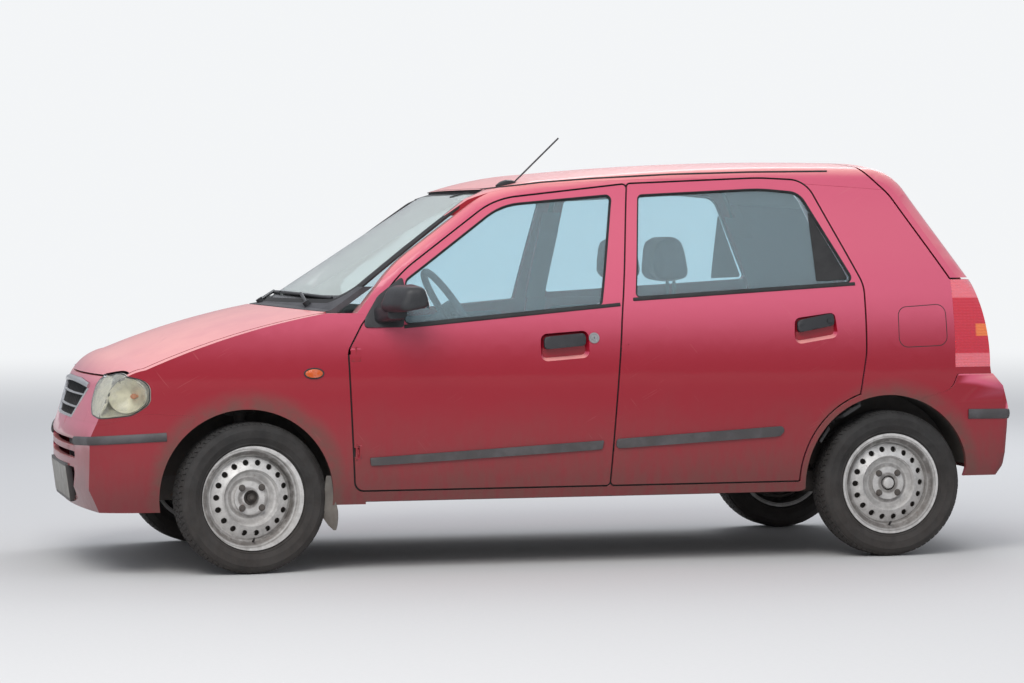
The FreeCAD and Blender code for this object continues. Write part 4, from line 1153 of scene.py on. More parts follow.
class RingOfCopies:
    """Geometry node group that copies one small mesh in even steps about the y axis."""

    name = "ring_of_copies"
    inputs = {"Geometry": "NodeSocketGeometry", "Count": "NodeSocketInt", "Wear": "NodeSocketFloat",
              "Seed": "NodeSocketInt", "Material": "NodeSocketMaterial"}

    @classmethod
    def tree(cls) -> Tree:
        """The group's tree, built on first use.

        Returns:
            The node tree.
        """
        tree = bpy.data.node_groups.get(cls.name)
        if tree:
            return tree
        tree = bpy.data.node_groups.new(cls.name, "GeometryNodeTree")
        for label, kind in cls.inputs.items():
            tree.interface.new_socket(label, in_out="INPUT", socket_type=kind)
        tree.interface.new_socket("Geometry", in_out="OUTPUT", socket_type="NodeSocketGeometry")
        graph = Graph(tree)
        given = graph.given()
        spots = graph.add("GeometryNodeMeshLine", {"Count": given["Count"], "Offset": (0.0, 0.0, 0.0)})
        step = graph.math("DIVIDE", 2 * math.pi, given["Count"])
        turn = graph.times(graph.add("GeometryNodeInputIndex").outputs[0], step)
        spin = graph.add("FunctionNodeAxisAngleToRotation", {"Axis": (0.0, 1.0, 0.0), "Angle": turn})
        least = graph.math("SUBTRACT", 1.0, given["Wear"])
        chance = graph.add("FunctionNodeRandomValue", {"Seed": given["Seed"]}, data_type="FLOAT")
        size = graph.fill(chance, {2: least, 3: 1.0}).outputs[1]
        scale = graph.add("ShaderNodeCombineXYZ", {0: size, 1: size, 2: size})
        copies = graph.add("GeometryNodeInstanceOnPoints", {
            "Points": spots.outputs[0], "Instance": given["Geometry"], "Rotation": spin.outputs[0],
            "Scale": scale.outputs[0]})
        solid = graph.add("GeometryNodeRealizeInstances", {0: copies.outputs[0]})
        dressed = graph.add("GeometryNodeSetMaterial", {"Geometry": solid.outputs[0], "Material": given["Material"]})
        graph.add("NodeGroupOutput", {0: dressed.outputs[0]})
        return tree

    @classmethod
    def run(cls, piece: Piece, count: int, finish: Finish, wear: float = 0.0, seed: int = 0,
            smooth: float = 40.0) -> Piece:
        """Copies of a piece about the y axis.

        Args:
            piece: Small piece built beside the y axis, which is used up.
            count: Number of copies.
            finish: Their finish.
            wear: How much smaller a copy may be, as a share.
            seed: Seed of that choice.
            smooth: Largest angle of a smoothed edge, in degrees.

        Returns:
            The copies as one piece.
        """
        modifier = piece.modifiers.new("copies", "NODES")
        modifier.node_group = cls.tree()
        values = {"Count": count, "Wear": wear, "Seed": seed, "Material": finish.material()}
        for item in modifier.node_group.interface.items_tree:
            if item.in_out == "INPUT" and item.name in values:
                modifier[item.identifier] = values[item.name]
        made, name = evaluated(piece), piece.name
        bpy.data.objects.remove(piece)
        return placed(name, made, finish, smooth)


NODE_FINISHES = (
    (RED_PAINT, PAINTED), (FRAME_PAINT, ("side_frames",)), (ROOF_PAINT, ("roof_panel",)),
    (SCREEN_GLASS, ("windscreen",)), (WINDOW_GLASS, ("tailgate_glass", "door_glass")),
    (UNDERSIDE, ("floor_pan", "front_wheelhouses", "rear_wheelhouses", "fuel_tank")),
    (CASTING, ("front_subframe", "rear_axle", "engine", "exhaust", "knuckle")), (ALLOY, ("radiator", "headlamps")),
    (WHEEL_STEEL, ("rim",)), (TYRE_RUBBER, ("tyre",)), (FLAP_RUBBER, ("mud_flaps",)), (CHROME, ("grille",)),
    (GREY_TRIM, ("cowl_panel",)), (BLACK_TRIM, ("wipers", "aerial", "door_fittings")), (TAIL_LENS, ("tail_lamps",)),
    (CABIN_PLASTIC, ("dashboard", "steering_wheel")), (SEAT_CLOTH, ("front_seats", "rear_seat")),
)


@dataclass
class Construction:
    """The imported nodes, each given its finish."""

    nodes: dict[str, Piece]

    def dress(self) -> None:
        """Give every node its material, by its whole name or the start of it."""
        finishes = {start: finish for finish, starts in NODE_FINISHES for start in starts}
        for name, node in self.nodes.items():
            start = max((start for start in finishes if name.startswith(start)), key=len)
            node.data.materials.clear()
            node.data.materials.append(finishes[start].material())


FRONT_WINDOW = [(-600, 866, 20), (-586, 1022, 30), (-216, 1288, 250), (197, 1324, 18), (122, 930, 14)]
REAR_WINDOW = [(250, 954, 14), (296, 1322, 18), (760, 1344, 700), (912, 1330, 70), (1082, 1002, 20)]
WINDSCREEN = [(-640, 942, 50), (-500, 1345, 70), (500, 1345, 70), (640, 942, 50)]
REAR_GLASS = [(-520, 1020, 60), (-430, 1352, 70), (430, 1352, 70), (520, 1020, 60)]
HEADLAMP = [(-842, 600, 60), (-838, 690, 60), (-660, 712, 220), (-552, 680, 46), (-552, 600, 46), (-600, 560, 60),
            (-700, 548, 200), (-800, 560, 60)]
GRILLE = [(-412, 662, 12), (-238, 536, 24), (238, 536, 24), (412, 662, 12), (200, 678, 400), (-200, 678, 400)]
FRONT_DOOR = [(-776, 286, 30), (-798, 775, 60), (-748, 866, 60), (-600, 1046, 500), (-236, 1306, 300),
              (254, 1360, 12), (190, 880, 900), (141, 286, 12)]
REAR_DOOR = [(147.5, 286, 12), (196.5, 880, 900), (260.5, 1360.7, 12), (760, 1381, 900), (938, 1372, 95),
             (1113, 990, 130), (1108, 740, 300), (1078, 560, 40), (860, 286, 25)]


@dataclass
class Dresser:
    """What every sub-assembly works from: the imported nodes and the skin."""

    nodes: dict[str, Piece]

    def __post_init__(self) -> None:
        """Gather the skins that trim is placed on."""
        panes = [name for name in self.nodes if "glass" in name or name == "windscreen"]
        self.skin = Skin([self.nodes[name] for name in (*PAINTED, *panes)])

    def skin_of(self, *names: str) -> Skin:
        """Surface of some nodes alone."""
        return Skin([self.nodes[name] for name in names])

    def corner(self, skin: Skin, s: float, z: float, rear: bool = False) -> Spot:
        """Point of a left corner, seen square to it.

        Args:
            skin: Surface to hit.
            s: Distance along the level line across the view.
            z: Height.
            rear: Whether it is the rear corner.

        Returns:
            The point and the surface's outward direction.
        """
        hand = 1.0 if rear else -1.0
        out = Vector((hand * DIAGONAL, -DIAGONAL, 0.0))
        level = Vector((DIAGONAL, hand * DIAGONAL, 0.0))
        start = level * s + UP * z + out * skin.reach
        return skin.hit(start, -out)


NOSE_PROFILE = ((0.16, -1.69), (0.3, -1.7475), (0.48, -1.7475), (0.675, -1.685), (0.72, -1.65))
NOSE_SWEEP = 0.0696 / 0.76 ** 2
TAIL_SHIFTS = ((0.262, -0.034), (0.288, -0.028), (0.32, -0.014), (0.37, -0.006), (0.46, -0.002), (0.54, 0.0),
               (0.617, 0.0234), (0.655, 0.0115), (0.668, 0.002), (0.69, 0.0))
REAR_BUMPER_FOOT = 0.288
SLOTS = [[(-404, z, 8), (404, z, 8), (404, z + 24, 8), (-404, z + 24, 8)] for z in (400, 444)]
INTAKE = [(-360, 262, 24), (360, 262, 24), (412, 368, 20), (-412, 368, 20)]
HANDLES = {"front": (-97, 772, 152, 13, 731), "rear": (850, 820, 140, 26, 722)}
RUB_STRIPS = {"front": [(-724, 372, 4), (-728, 400, 4), (120, 446, 4), (112, 414, 4)],
              "rear": [(164, 416, 12), (166, 450, 12), (812, 486, 14), (778, 448, 14)]}
MIRROR_SHELL = ([(-716, 902, 26), (-672, 1004, 46), (-562, 1012, 34), (-541, 926, 26)],
                [(-652, 910, 22), (-628, 998, 34), (-562, 1000, 26), (-545, 930, 20)])
MIRROR_FOOT = ([(-712, 868, 16), (-708, 932, 20), (-612, 930, 20), (-612, 872, 16)],
               [(-676, 888, 14), (-672, 930, 14), (-606, 928, 14), (-606, 890, 14)])
FUEL_FLAP = [(1238, 762, 34), (1240, 908, 34), (1424, 919, 34), (1426, 768, 34)]


def steps_between(rows: Outline, value: float) -> float:
    """Value of a broken line at a place, level beyond its ends."""
    return float(np.interp(value, *zip(*rows)))


def nose(y: float, z: float) -> Spot:
    """Point of the nose, in front view, and its outward direction.

    Args:
        y: Place across the car.
        z: Height.

    Returns:
        The point and the direction.
    """
    def x(width: float, height: float) -> float:
        """Place along the car."""
        return steps_between(NOSE_PROFILE, height) + NOSE_SWEEP * width * width

    slope_y = (x(y + MM, z) - x(y - MM, z)) / (2 * MM)
    slope_z = (x(y, z + MM) - x(y, z - MM)) / (2 * MM)
    return Vector((x(y, z), y, z)), Vector((-1.0, slope_y, slope_z)).normalized()


def handle_rows(word: str, margin: float = 0.0, drop: float = 0.0) -> list[tuple[float, float, float]]:
    """Outline rows of a door handle, grown by a margin and let down by a drop.

    Args:
        word: Which door.
        margin: How much it is grown.
        drop: How far it is let down.

    Returns:
        Corner rows in millimetres.
    """
    x, z, length, rise, _ = HANDLES[word]
    left, right, low, high = x - margin, x + length + margin, z - margin - drop, z + 44 + margin
    radius = 12 + margin
    return [(left, low, radius), (right, low + rise, radius), (right, high + rise, radius), (left, high, radius)]


class Bodywork(Dresser):
    """Outer panels with their openings: lamps, grille, intakes, handle recesses and the tail's fold."""

    def build(self) -> None:
        """Cut every panel."""
        lamps = [self.lamp_block(hand, 0.0003) for hand in Side]
        wide = [self.lamp_block(hand, 0.0065) for hand in Side]
        openings = [self.nose_block(outline_of(rows, 60)) for rows in (GRILLE, INTAKE, *SLOTS)]
        self.carve("front_fenders", lamps)
        self.carve("front_panel", [*lamps, *openings])
        self.carve("front_bumper", [*lamps, *openings], finish=BUMPER_PAINT)
        self.carve("bonnet", wide, "bonnet")
        self.carve("headlamps", lamps)
        for word in ("front", "rear"):
            for hand in Side:
                door = f"door_{word}_{hand.word}"
                self.carve(door, [self.recess(word, hand)], door)
        self.tail()
        for block in [item for item in bpy.data.objects if item.name.startswith("cutting_block")]:
            bpy.data.objects.remove(block)
        for name, foot, head, low, high in (("grille_foot", 118, 136, 505, 537), ("slot_bar", 304, 304, 424, 441),
                                            ("slot_sill", 304, 304, 394, 400)):
            rows = [(-foot, low, 1), (foot, low, 1), (head, high, 1), (-head, high, 1)]
            carry(patch(name, outline_of(rows, 60), nose, RED_PAINT, 0.0, -0.018, 0.06, 0.0005))
        dark = box_outline((-430, 240), (430, 490), 20)
        carry(patch("intake_back", dark, lambda y, z: (Vector((-1.69 + 0.14 * y * y, y, z)), -ALONG), BLACK_TRIM,
                    0.0, -0.003, 0.08, 0.0))

    @staticmethod
    def lamp_block(hand: Side, growth: float) -> Piece:
        """Block through a headlamp's outline.

        Args:
            hand: Which side.
            growth: How much the outline is grown.

        Returns:
            The block.
        """
        out = Vector((-DIAGONAL, hand.value * DIAGONAL, 0.0))
        level = Vector((DIAGONAL, hand.value * DIAGONAL, 0.0))
        outline = grown(outline_of(HEADLAMP, 40), growth)
        rows = [[level * s + out * reach + UP * z for s, z in outline] for reach in (1.1, 1.9)]
        return loft(rows).piece("cutting_block", BLACK_TRIM)

    @staticmethod
    def nose_block(outline: Outline) -> Piece:
        """Block along the car through an outline in front view."""
        rows = [[Vector((x, y, z)) for y, z in outline] for x in (-1.9, -1.5)]
        return loft(rows).piece("cutting_block", BLACK_TRIM)

    @staticmethod
    def recess(word: str, hand: Side) -> Piece:
        """Block for the recess behind a door handle, with sloping walls.

        Args:
            word: Which door.
            hand: Which side.

        Returns:
            The block.
        """
        skin_y = HANDLES[word][4] * MM
        rim = outline_of(handle_rows(word, 13, 30), 60)
        rows = []
        for shrink, depth in ((0.0, -0.03), (0.0, 0.0), (0.011, 0.019)):
            rows.append([Vector((x, hand.value * (skin_y - depth), z)) for x, z in grown(rim, -shrink)])
        return loft(rows).piece("cutting_block", BLACK_TRIM)

    def carve(self, node: str, blocks: Sequence[Piece], body: str = "body", finish: Finish = RED_PAINT) -> None:
        """Cut blocks out of a copy of a node and let it replace the node.

        Args:
            node: The node's name.
            blocks: What is cut out.
            body: Body it rides on.
            finish: Its finish.
        """
        mesh = self.nodes[node].data.copy()
        tidy(mesh)
        normals = mesh.attributes.get("custom_normal")
        if normals:
            mesh.attributes.remove(normals)
        piece = placed(f"{node}_skin", mesh, finish, 28.0)
        for block in blocks:
            cut = piece.modifiers.new("cut", "BOOLEAN")
            cut.operation, cut.solver, cut.object = "DIFFERENCE", "EXACT", block
        result = evaluated(piece)
        bpy.data.objects.remove(piece)
        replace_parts(carry(placed(f"{node}_skin", result, finish, 28.0), body), node)

    def tail(self) -> None:
        """Rear bumper with its fold below the tailgate and its higher foot."""
        mesh = self.nodes["rear_bumper"].data.copy()
        tidy(mesh)
        work = bmesh.new()
        work.from_mesh(mesh)
        for z, _ in TAIL_SHIFTS:
            geometry = [*work.verts, *work.edges, *work.faces]
            cut = bmesh.ops.bisect_plane(work, geom=geometry, plane_co=UP * z, plane_no=UP,
                                         clear_inner=z == REAR_BUMPER_FOOT)
            if z == REAR_BUMPER_FOOT:
                rim = [item for item in cut["geom_cut"] if isinstance(item, bmesh.types.BMEdge)]
                bmesh.ops.holes_fill(work, edges=rim)
        for vertex in work.verts:
            share = min(1.0, max(0.0, (vertex.co.x - 1.42) / 0.12))
            vertex.co.x += steps_between(TAIL_SHIFTS, vertex.co.z) * share
        work.to_mesh(mesh)
        work.free()
        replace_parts(carry(placed("rear_bumper_skin", mesh, RED_PAINT, 28.0)), "rear_bumper")


class Glazing(Dresser):
    """Window seals, belt strips, black bands, drip mouldings and the cabin mirror."""

    def build(self) -> None:
        """Make all pieces."""
        for word, rows in (("front", FRONT_WINDOW), ("rear", REAR_WINDOW)):
            self.door_seal(word, rows)
            self.belt(word, rows)
        for word, rows in (("front", FRONT_DOOR), ("rear", REAR_DOOR)):
            rail = [self.skin.side(x, z) for x, z in grown(outline_of(rows), -0.008)]
            section = [(-20, -10.5), (2, -10.5), (2, -16), (-6, -20), (-20, -20)]
            pair(ribbon(f"doorway_seal_{word}_left", rail, section, SEAL_RUBBER, closed=True))
        self.quarter()
        self.drip()
        self.screen("windscreen", WINDSCREEN, -1, "body")
        self.screen("tailgate_glass", REAR_GLASS, 1, "tailgate")
        self.heater()
        self.cabin_mirror()

    def door_seal(self, word: str, rows: Rows) -> None:
        """Rubber channel between a door frame and its pane.

        Args:
            word: Which door.
            rows: Corner rows of the window opening.
        """
        rail = [self.skin.side(x, z) for x, z in grown(outline_of(rows), 0.005)]
        section = [(3, -1), (3, 0.6), (5, 0.8), (7.5, -3), (10, -8.6), (10, -10.5), (4, -10.5)]
        pair(ribbon(f"window_seal_{word}_left", rail, section, SEAL_RUBBER, closed=True), f"door_{word}_left")

    def belt(self, word: str, rows: Rows) -> None:
        """Black strip on the door below its window.

        Args:
            word: Which door.
            rows: Corner rows of the window opening.
        """
        (x0, z0), (x1, z1) = (metres([rows[i]])[0][:2] for i in (0, 4))
        low, high = (0.0, 1.093) if word == "front" else (-0.054, 1.0)
        shares = (low + (high - low) * i / 24 for i in range(25))
        rail = [self.skin.side(x0 + (x1 - x0) * share, z0 + (z1 - z0) * share - 0.007) for share in shares]
        pair(ribbon(f"belt_strip_{word}_left", rail, pillow(13, 4), SEAL_RUBBER), f"door_{word}_left")

    def quarter(self) -> None:
        """Black corner at the rear end of the rear door's window."""
        skin = self.skin_of("door_glass_rear_left")
        corner = [(938, 1006, 3), (938, 1264, 3), (1062, 1010, 8)]
        pair(patch("window_quarter_left", outline_of(corner), skin.side, SEAL_RUBBER, 0.002, -0.001, 0.05),
             "door_rear_left")

    def drip(self) -> None:
        """Rain strip along the roof edge over the doors."""
        line = metres([(-346, 1318), (-249, 1346), (-60, 1368), (132, 1382), (429, 1397), (728, 1405), (1030, 1408)])
        rail = [self.skin.side(x, z) for x, z in dense(line, 0.03, closed=False)]
        pair(ribbon("drip_strip_left", rail, pillow(7, 4), SEAL_RUBBER))

    def screen(self, node: str, rows: Rows, hand: int, body: str) -> None:
        """Rubber seal and black printed band round a screen.

        Args:
            node: The pane's node.
            rows: Its outline in front view.
            hand: -1 at the front, 1 at the rear.
            body: Body it rides on.
        """
        skin = self.skin_of(node)
        rail = [skin.end(y, z, hand) for y, z in grown(outline_of(rows), -0.006)]
        section = [(-24, 1), (-24, 8), (-7, 9.5), (-1, 10.5), (6, 5), (10, 0.3), (0, -1)]
        carry(ribbon(f"{node}_seal", rail, section, SEAL_RUBBER, closed=True), body)
        band = [(2, 0.2), (2, 0.6), (34, 0.6), (34, 0.2)]
        carry(ribbon(f"{node}_band", rail, band, CERAMIC_BAND, closed=True), body)

    def heater(self) -> None:
        """Heating lines of the rear window."""
        skin = self.skin_of("tailgate_glass")
        foot, pitch, half_foot, half_slope = 1.07, 0.029, 0.46, 0.08 / 0.33
        for i in range(9):
            z = foot + i * pitch
            half = half_foot - half_slope * (z - 1.02)
            rail = [skin.end(y / 12 * half, z, 1) for y in range(-12, 13)]
            line = [(-0.7, 0.1), (-0.7, 0.3), (0.7, 0.3), (0.7, 0.1)]
            carry(ribbon(f"heater_line_{i + 1}", rail, line, HEATER_PRINT), "tailgate")

    def cabin_mirror(self) -> None:
        """Mirror hung behind the windscreen."""
        middle = Vector((-0.17, 0.0, 1.262))
        back = Vector((-0.93, 0.0, 0.36)).normalized()
        place = plane(middle, Vector((0.36, 0.0, 0.93)), back)
        outline = box_outline((-118, -32), (118, 32), 22)
        carry(patch("cabin_mirror", outline, place, BLACK_TRIM, 0.024, 0.0, 0.02, 0.008, dome=0.012))
        carry(patch("cabin_mirror_glass", grown(outline, -0.006), place, MIRROR_GLASS, 0.0, -0.002, 0.05, 0.0))
        stem = turned([(0, 0), (9, 0), (7, 50), (16, 88), (0, 90)], middle + back * 0.02,
                      Vector((-0.35, 0.0, 0.93)), 16)
        carry(stem.piece("cabin_mirror_stem", BLACK_TRIM))


class Sides(Dresser):
    """Mirrors, sails, locks, blinkers, bumper strips and mud flaps."""

    def build(self) -> None:
        """Make all pieces."""
        for word in ("front", "rear"):
            self.handle(word)
        for make in (self.fuel_flap, self.hinge_covers, self.sail, self.mirror, self.mirror_glass, self.lock,
                     self.blinker, self.bumper_strips, self.mud_flap):
            make()
        self.door_card("front", [(-700, 330, 60), (-700, 820, 60), (-560, 850, 30), (80, 890, 40), (80, 330, 60)], 745)
        self.door_card("rear", [(250, 350, 60), (250, 900, 40), (920, 930, 60), (900, 700, 90), (700, 350, 90)], 760)

    def sail(self) -> None:
        """Black cover in the front corner of the door window, which carries the mirror."""
        outline = [(-744, 856, 12), (-738, 890, 20), (-690, 966, 40), (-596, 1036, 8), (-590, 980, 20), (-602, 856, 10)]
        spots = [self.skin.side(*spot)[0] for spot in ((-0.745, 0.858), (-0.598, 1.052), (-0.6, 0.846))]
        normal = (spots[1] - spots[0]).cross(spots[2] - spots[0]).normalized()
        normal = normal if normal.y < 0 else -normal

        def place(x: float, z: float) -> Spot:
            """Point of the plane through the door frame's corner."""
            run = Vector((x, 0.0, z)) - spots[0]
            return Vector((x, spots[0].y - (run.x * normal.x + run.z * normal.z) / normal.y, z)), normal

        pair(patch("mirror_sail_left", outline_of(outline), place, BLACK_TRIM, 0.007, -0.011, 0.03, 0.003),
             "door_front_left")

    def mirror_glass(self) -> None:
        """Glass of the door mirror, facing rearwards."""
        outline = outline_of([(-898, 922, 20), (-898, 988, 26), (-786, 996, 32), (-786, 934, 22)])

        def place(y: float, z: float) -> Spot:
            """Point of the shell's rear side."""
            return Vector((-0.5435 - 0.2442 * (z - 0.926), y, z)), Vector((1.0, 0.0, 0.2442)).normalized()

        pair(patch("mirror_glass_left", outline, place, MIRROR_GLASS, 0.0018, -0.001, 0.03, 0.0005), "door_front_left")

    @staticmethod
    def mirror() -> None:
        """Rounded shell of the door mirror on its foot."""
        near, far = (rounded(metres(rows)) for rows in MIRROR_SHELL)
        ends = ((0.0, 0.03), (0.0, 0.012), (0.05, 0.003), (0.12, 0.0), (0.5, 0.0), (0.85, 0.0), (0.94, 0.004),
                (0.985, 0.012), (1.0, 0.026))
        rows = []
        for share, shrink in ends:
            ring = [Vector(a).lerp(Vector(b), share) for a, b in zip(near, far)]
            middle = sum(ring, Vector((0.0, 0.0))) / len(ring)
            ring = [spot + (middle - spot).normalized() * shrink for spot in ring]
            rows.append([Vector((spot.x, -0.768 - 0.144 * share, spot.y)) for spot in ring])
        feet, tips = (rounded(metres(rows)) for rows in MIRROR_FOOT)
        foot = [[Vector((x, y, z)) for x, z in ring] for ring, y in ((feet, -0.66), (feet, -0.7), (tips, -0.8))]
        shells = [loft(rows).piece("mirror_shell", BLACK_TRIM, 50), loft(foot).piece("mirror_foot", BLACK_TRIM)]
        pair(joined("mirror_shell_left", shells, BLACK_TRIM, 50), "door_front_left")

    def handle(self, word: str) -> None:
        """Pull handle and rub strip of a door.

        Args:
            word: Which door.
        """
        grip = patch(f"door_handle_{word}_left", outline_of(handle_rows(word), 12), self.skin.side, BLACK_TRIM, 0.006,
                     -0.009, 0.02, 0.005, dome=0.004)
        x, z, length, rise, skin_y = HANDLES[word]
        feet = [grip]
        for start in (x + 9, x + length - 27):
            low = z + 14 + rise * (start - x) / length
            ring = metres([(start, low), (start + 18, low), (start + 18, low + 15), (start, low + 15)])
            rows = [[Vector((u, -y * MM, v)) for u, v in ring] for y in (skin_y + 4, skin_y - 18.7)]
            feet.append(loft(rows).piece("door_handle_foot", BLACK_TRIM))
        handle = joined(f"door_handle_{word}_left", feet, BLACK_TRIM)
        strip = patch(f"rub_strip_{word}_left", outline_of(RUB_STRIPS[word], 30), self.skin.side, STRIP_RUBBER, 0.007,
                      -0.0005, 0.05, 0.0025, dome=0.001)
        pair(strip, f"door_{word}_left")
        for piece, hand in zip(pair(handle, f"door_{word}_left"), Side):
            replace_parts(piece, f"door_fittings_{word}_{hand.word}")

    def hinge_covers(self) -> None:
        """Skin over the front door's hinge pockets."""
        for word, (x0, x1), (z0, z1) in (("upper", (-793, -756), (738, 784)), ("lower", (-783, -755), (396, 444))):
            ends = (z0 - 26) * MM, (z1 + 12) * MM

            def place(x: float, z: float) -> Spot:
                """Point of the skin, taken from above and below the pocket."""
                (low, normal), (high, _) = (self.skin.side(max(x, -0.782), end) for end in ends)
                return Vector((x, low.lerp(high, (z - ends[0]) / (ends[1] - ends[0])).y, z)), normal

            rows = [(x0, z0, 4), (x1, z0, 4), (x1, z1, 4), (x0, z1, 4)]
            cover = patch(f"hinge_cover_{word}_left", outline_of(rows, 20), place, RED_PAINT, 0.0009, -0.004, 0.02,
                          0.0006)
            pair(cover, "door_front_left")

    def fuel_flap(self) -> None:
        """Seam round the fuel flap on the left quarter."""
        rail = [self.skin.side(x, z) for x, z in outline_of(FUEL_FLAP)]
        seam = [(-1.4, -0.5), (-1.4, 0.25), (1.4, 0.25), (1.4, -0.5)]
        carry(ribbon("fuel_flap_seam", rail, seam, SEAL_RUBBER, closed=True))
        carry(patch("aerial_foot", ellipse(-0.176, -0.482, 0.074, 0.032), self.skin.above, BLACK_TRIM, 0.005, -0.001,
                    0.02, 0.003, dome=0.012))

    def lock(self) -> None:
        """Key cylinder of the front door."""
        point, normal = self.skin.side(0.086, 0.811)
        profile = [(0, 3), (9, 3), (9.5, 1.4), (13, 1.4), (14, 3.2), (19, 3), (20, 0.6), (20, -2)]
        pair(turned(profile, point, normal, 40).piece("door_lock_left", LOCK_STEEL), "door_front_left")
        rows = [[point + normal * h + Vector((u, 0.0, v)) for u, v in ellipse(0.0, 0.0, 0.0022, 0.009, 12)]
                for h in (0.0, 0.0034)]
        pair(loft(rows, (1,)).piece("door_key_slot_left", CERAMIC_BAND), "door_front_left")

    def blinker(self) -> None:
        """Oval side blinker in its dark rim."""
        x, z = -0.924, 0.699
        rail = [self.skin.side(*spot) for spot in ellipse(x, z, 0.068, 0.036, 40)]
        section = [(-2, -1), (-2, 1.6), (0, 3.4), (3, 3), (4, -1)]
        pair(ribbon("blinker_rim_left", rail, section, BLACK_TRIM, closed=True))
        pair(patch("blinker_lens_left", ellipse(x, z, 0.062, 0.03, 40), self.skin.side, AMBER_LENS, 0.004, -0.001,
                   0.008, 0.002, dome=0.006))

    def bumper_strips(self) -> None:
        """Dark strips round the corners of both bumpers."""
        for word, start, run, z, rise, width in (("front", -0.939, 0.424, 0.462, 0.024, 30),
                                                 ("rear", 0.56, 0.48, 0.515, -0.006, 36)):
            rail = [self.corner(self.skin, start + run * i / 32, z + rise * i / 32, word == "rear") for i in range(33)]
            pair(ribbon(f"bumper_strip_{word}_left", rail, pillow(width, 8), STRIP_RUBBER))

    def mud_flap(self) -> None:
        """Leaf-shaped flap behind the front wheel."""
        width = [(0, 0.3), (10, 0.34), (60, 0.5), (110, 0.85), (124, 0.92), (150, 0.78), (176, 0.45), (192, 0.12)]
        rings = []
        for fall, share in width:
            sway = 0.016 * (fall / 192) ** 2 - 0.012 * share
            row = []
            for i in range(9):
                part = (i / 8 * 2 - 1) * share
                bulge = 0.005 * (1 - part * part)
                row.append(Vector((-0.864 + 0.03 * part + sway, -0.69 - 0.022 * part - bulge, 0.338 - fall * MM)))
            back = [point + Vector((0.002, 0.004, 0.0)) for point in row]
            rings.append([*row, *reversed(back)])
        for piece in pair(loft(rings).piece("mud_flap_left", FLAP_RUBBER)):
            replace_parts(piece, "mud_flaps")

    def door_card(self, word: str, rows: Rows, arm_z: float) -> None:
        """Trim panel and armrest on the inside of a door.

        Args:
            word: Which door.
            rows: Corner rows of the panel.
            arm_z: Height of the armrest.
        """
        skin = self.skin_of(f"door_{word}_left")

        def place(x: float, z: float) -> Spot:
            """Point of the door's inner side."""
            return skin.hit(Vector((x, 0.0, z)), Vector((0.0, -1.0, 0.0)))

        x0, x1 = rows[1][0] + 90, rows[3][0] - 130
        for label, outline, finish, *sizes in (
                ("card", outline_of(rows, 40), CABIN_PLASTIC, 0.006, 0.0, 0.08, 0.003),
                ("insert", box_outline((x0, 480), (x1, arm_z - 45), 50), DOOR_CLOTH, 0.011, 0.003, 0.06, 0.004),
                ("arm", box_outline((x0 + 60, arm_z - 30), (x1, arm_z), 14), CABIN_PLASTIC, 0.038, 0.003, 0.06, 0.01)):
            pair(patch(f"door_{label}_{word}_left", outline, place, finish, *sizes), f"door_{word}_left")
        winder = turned([(0, 12), (24, 12), (27, 6), (27, 0)], *place((x0 + 40) * MM, (arm_z - 110) * MM), 28)
        pair(winder.piece(f"window_winder_{word}_left", BLACK_TRIM), f"door_{word}_left")


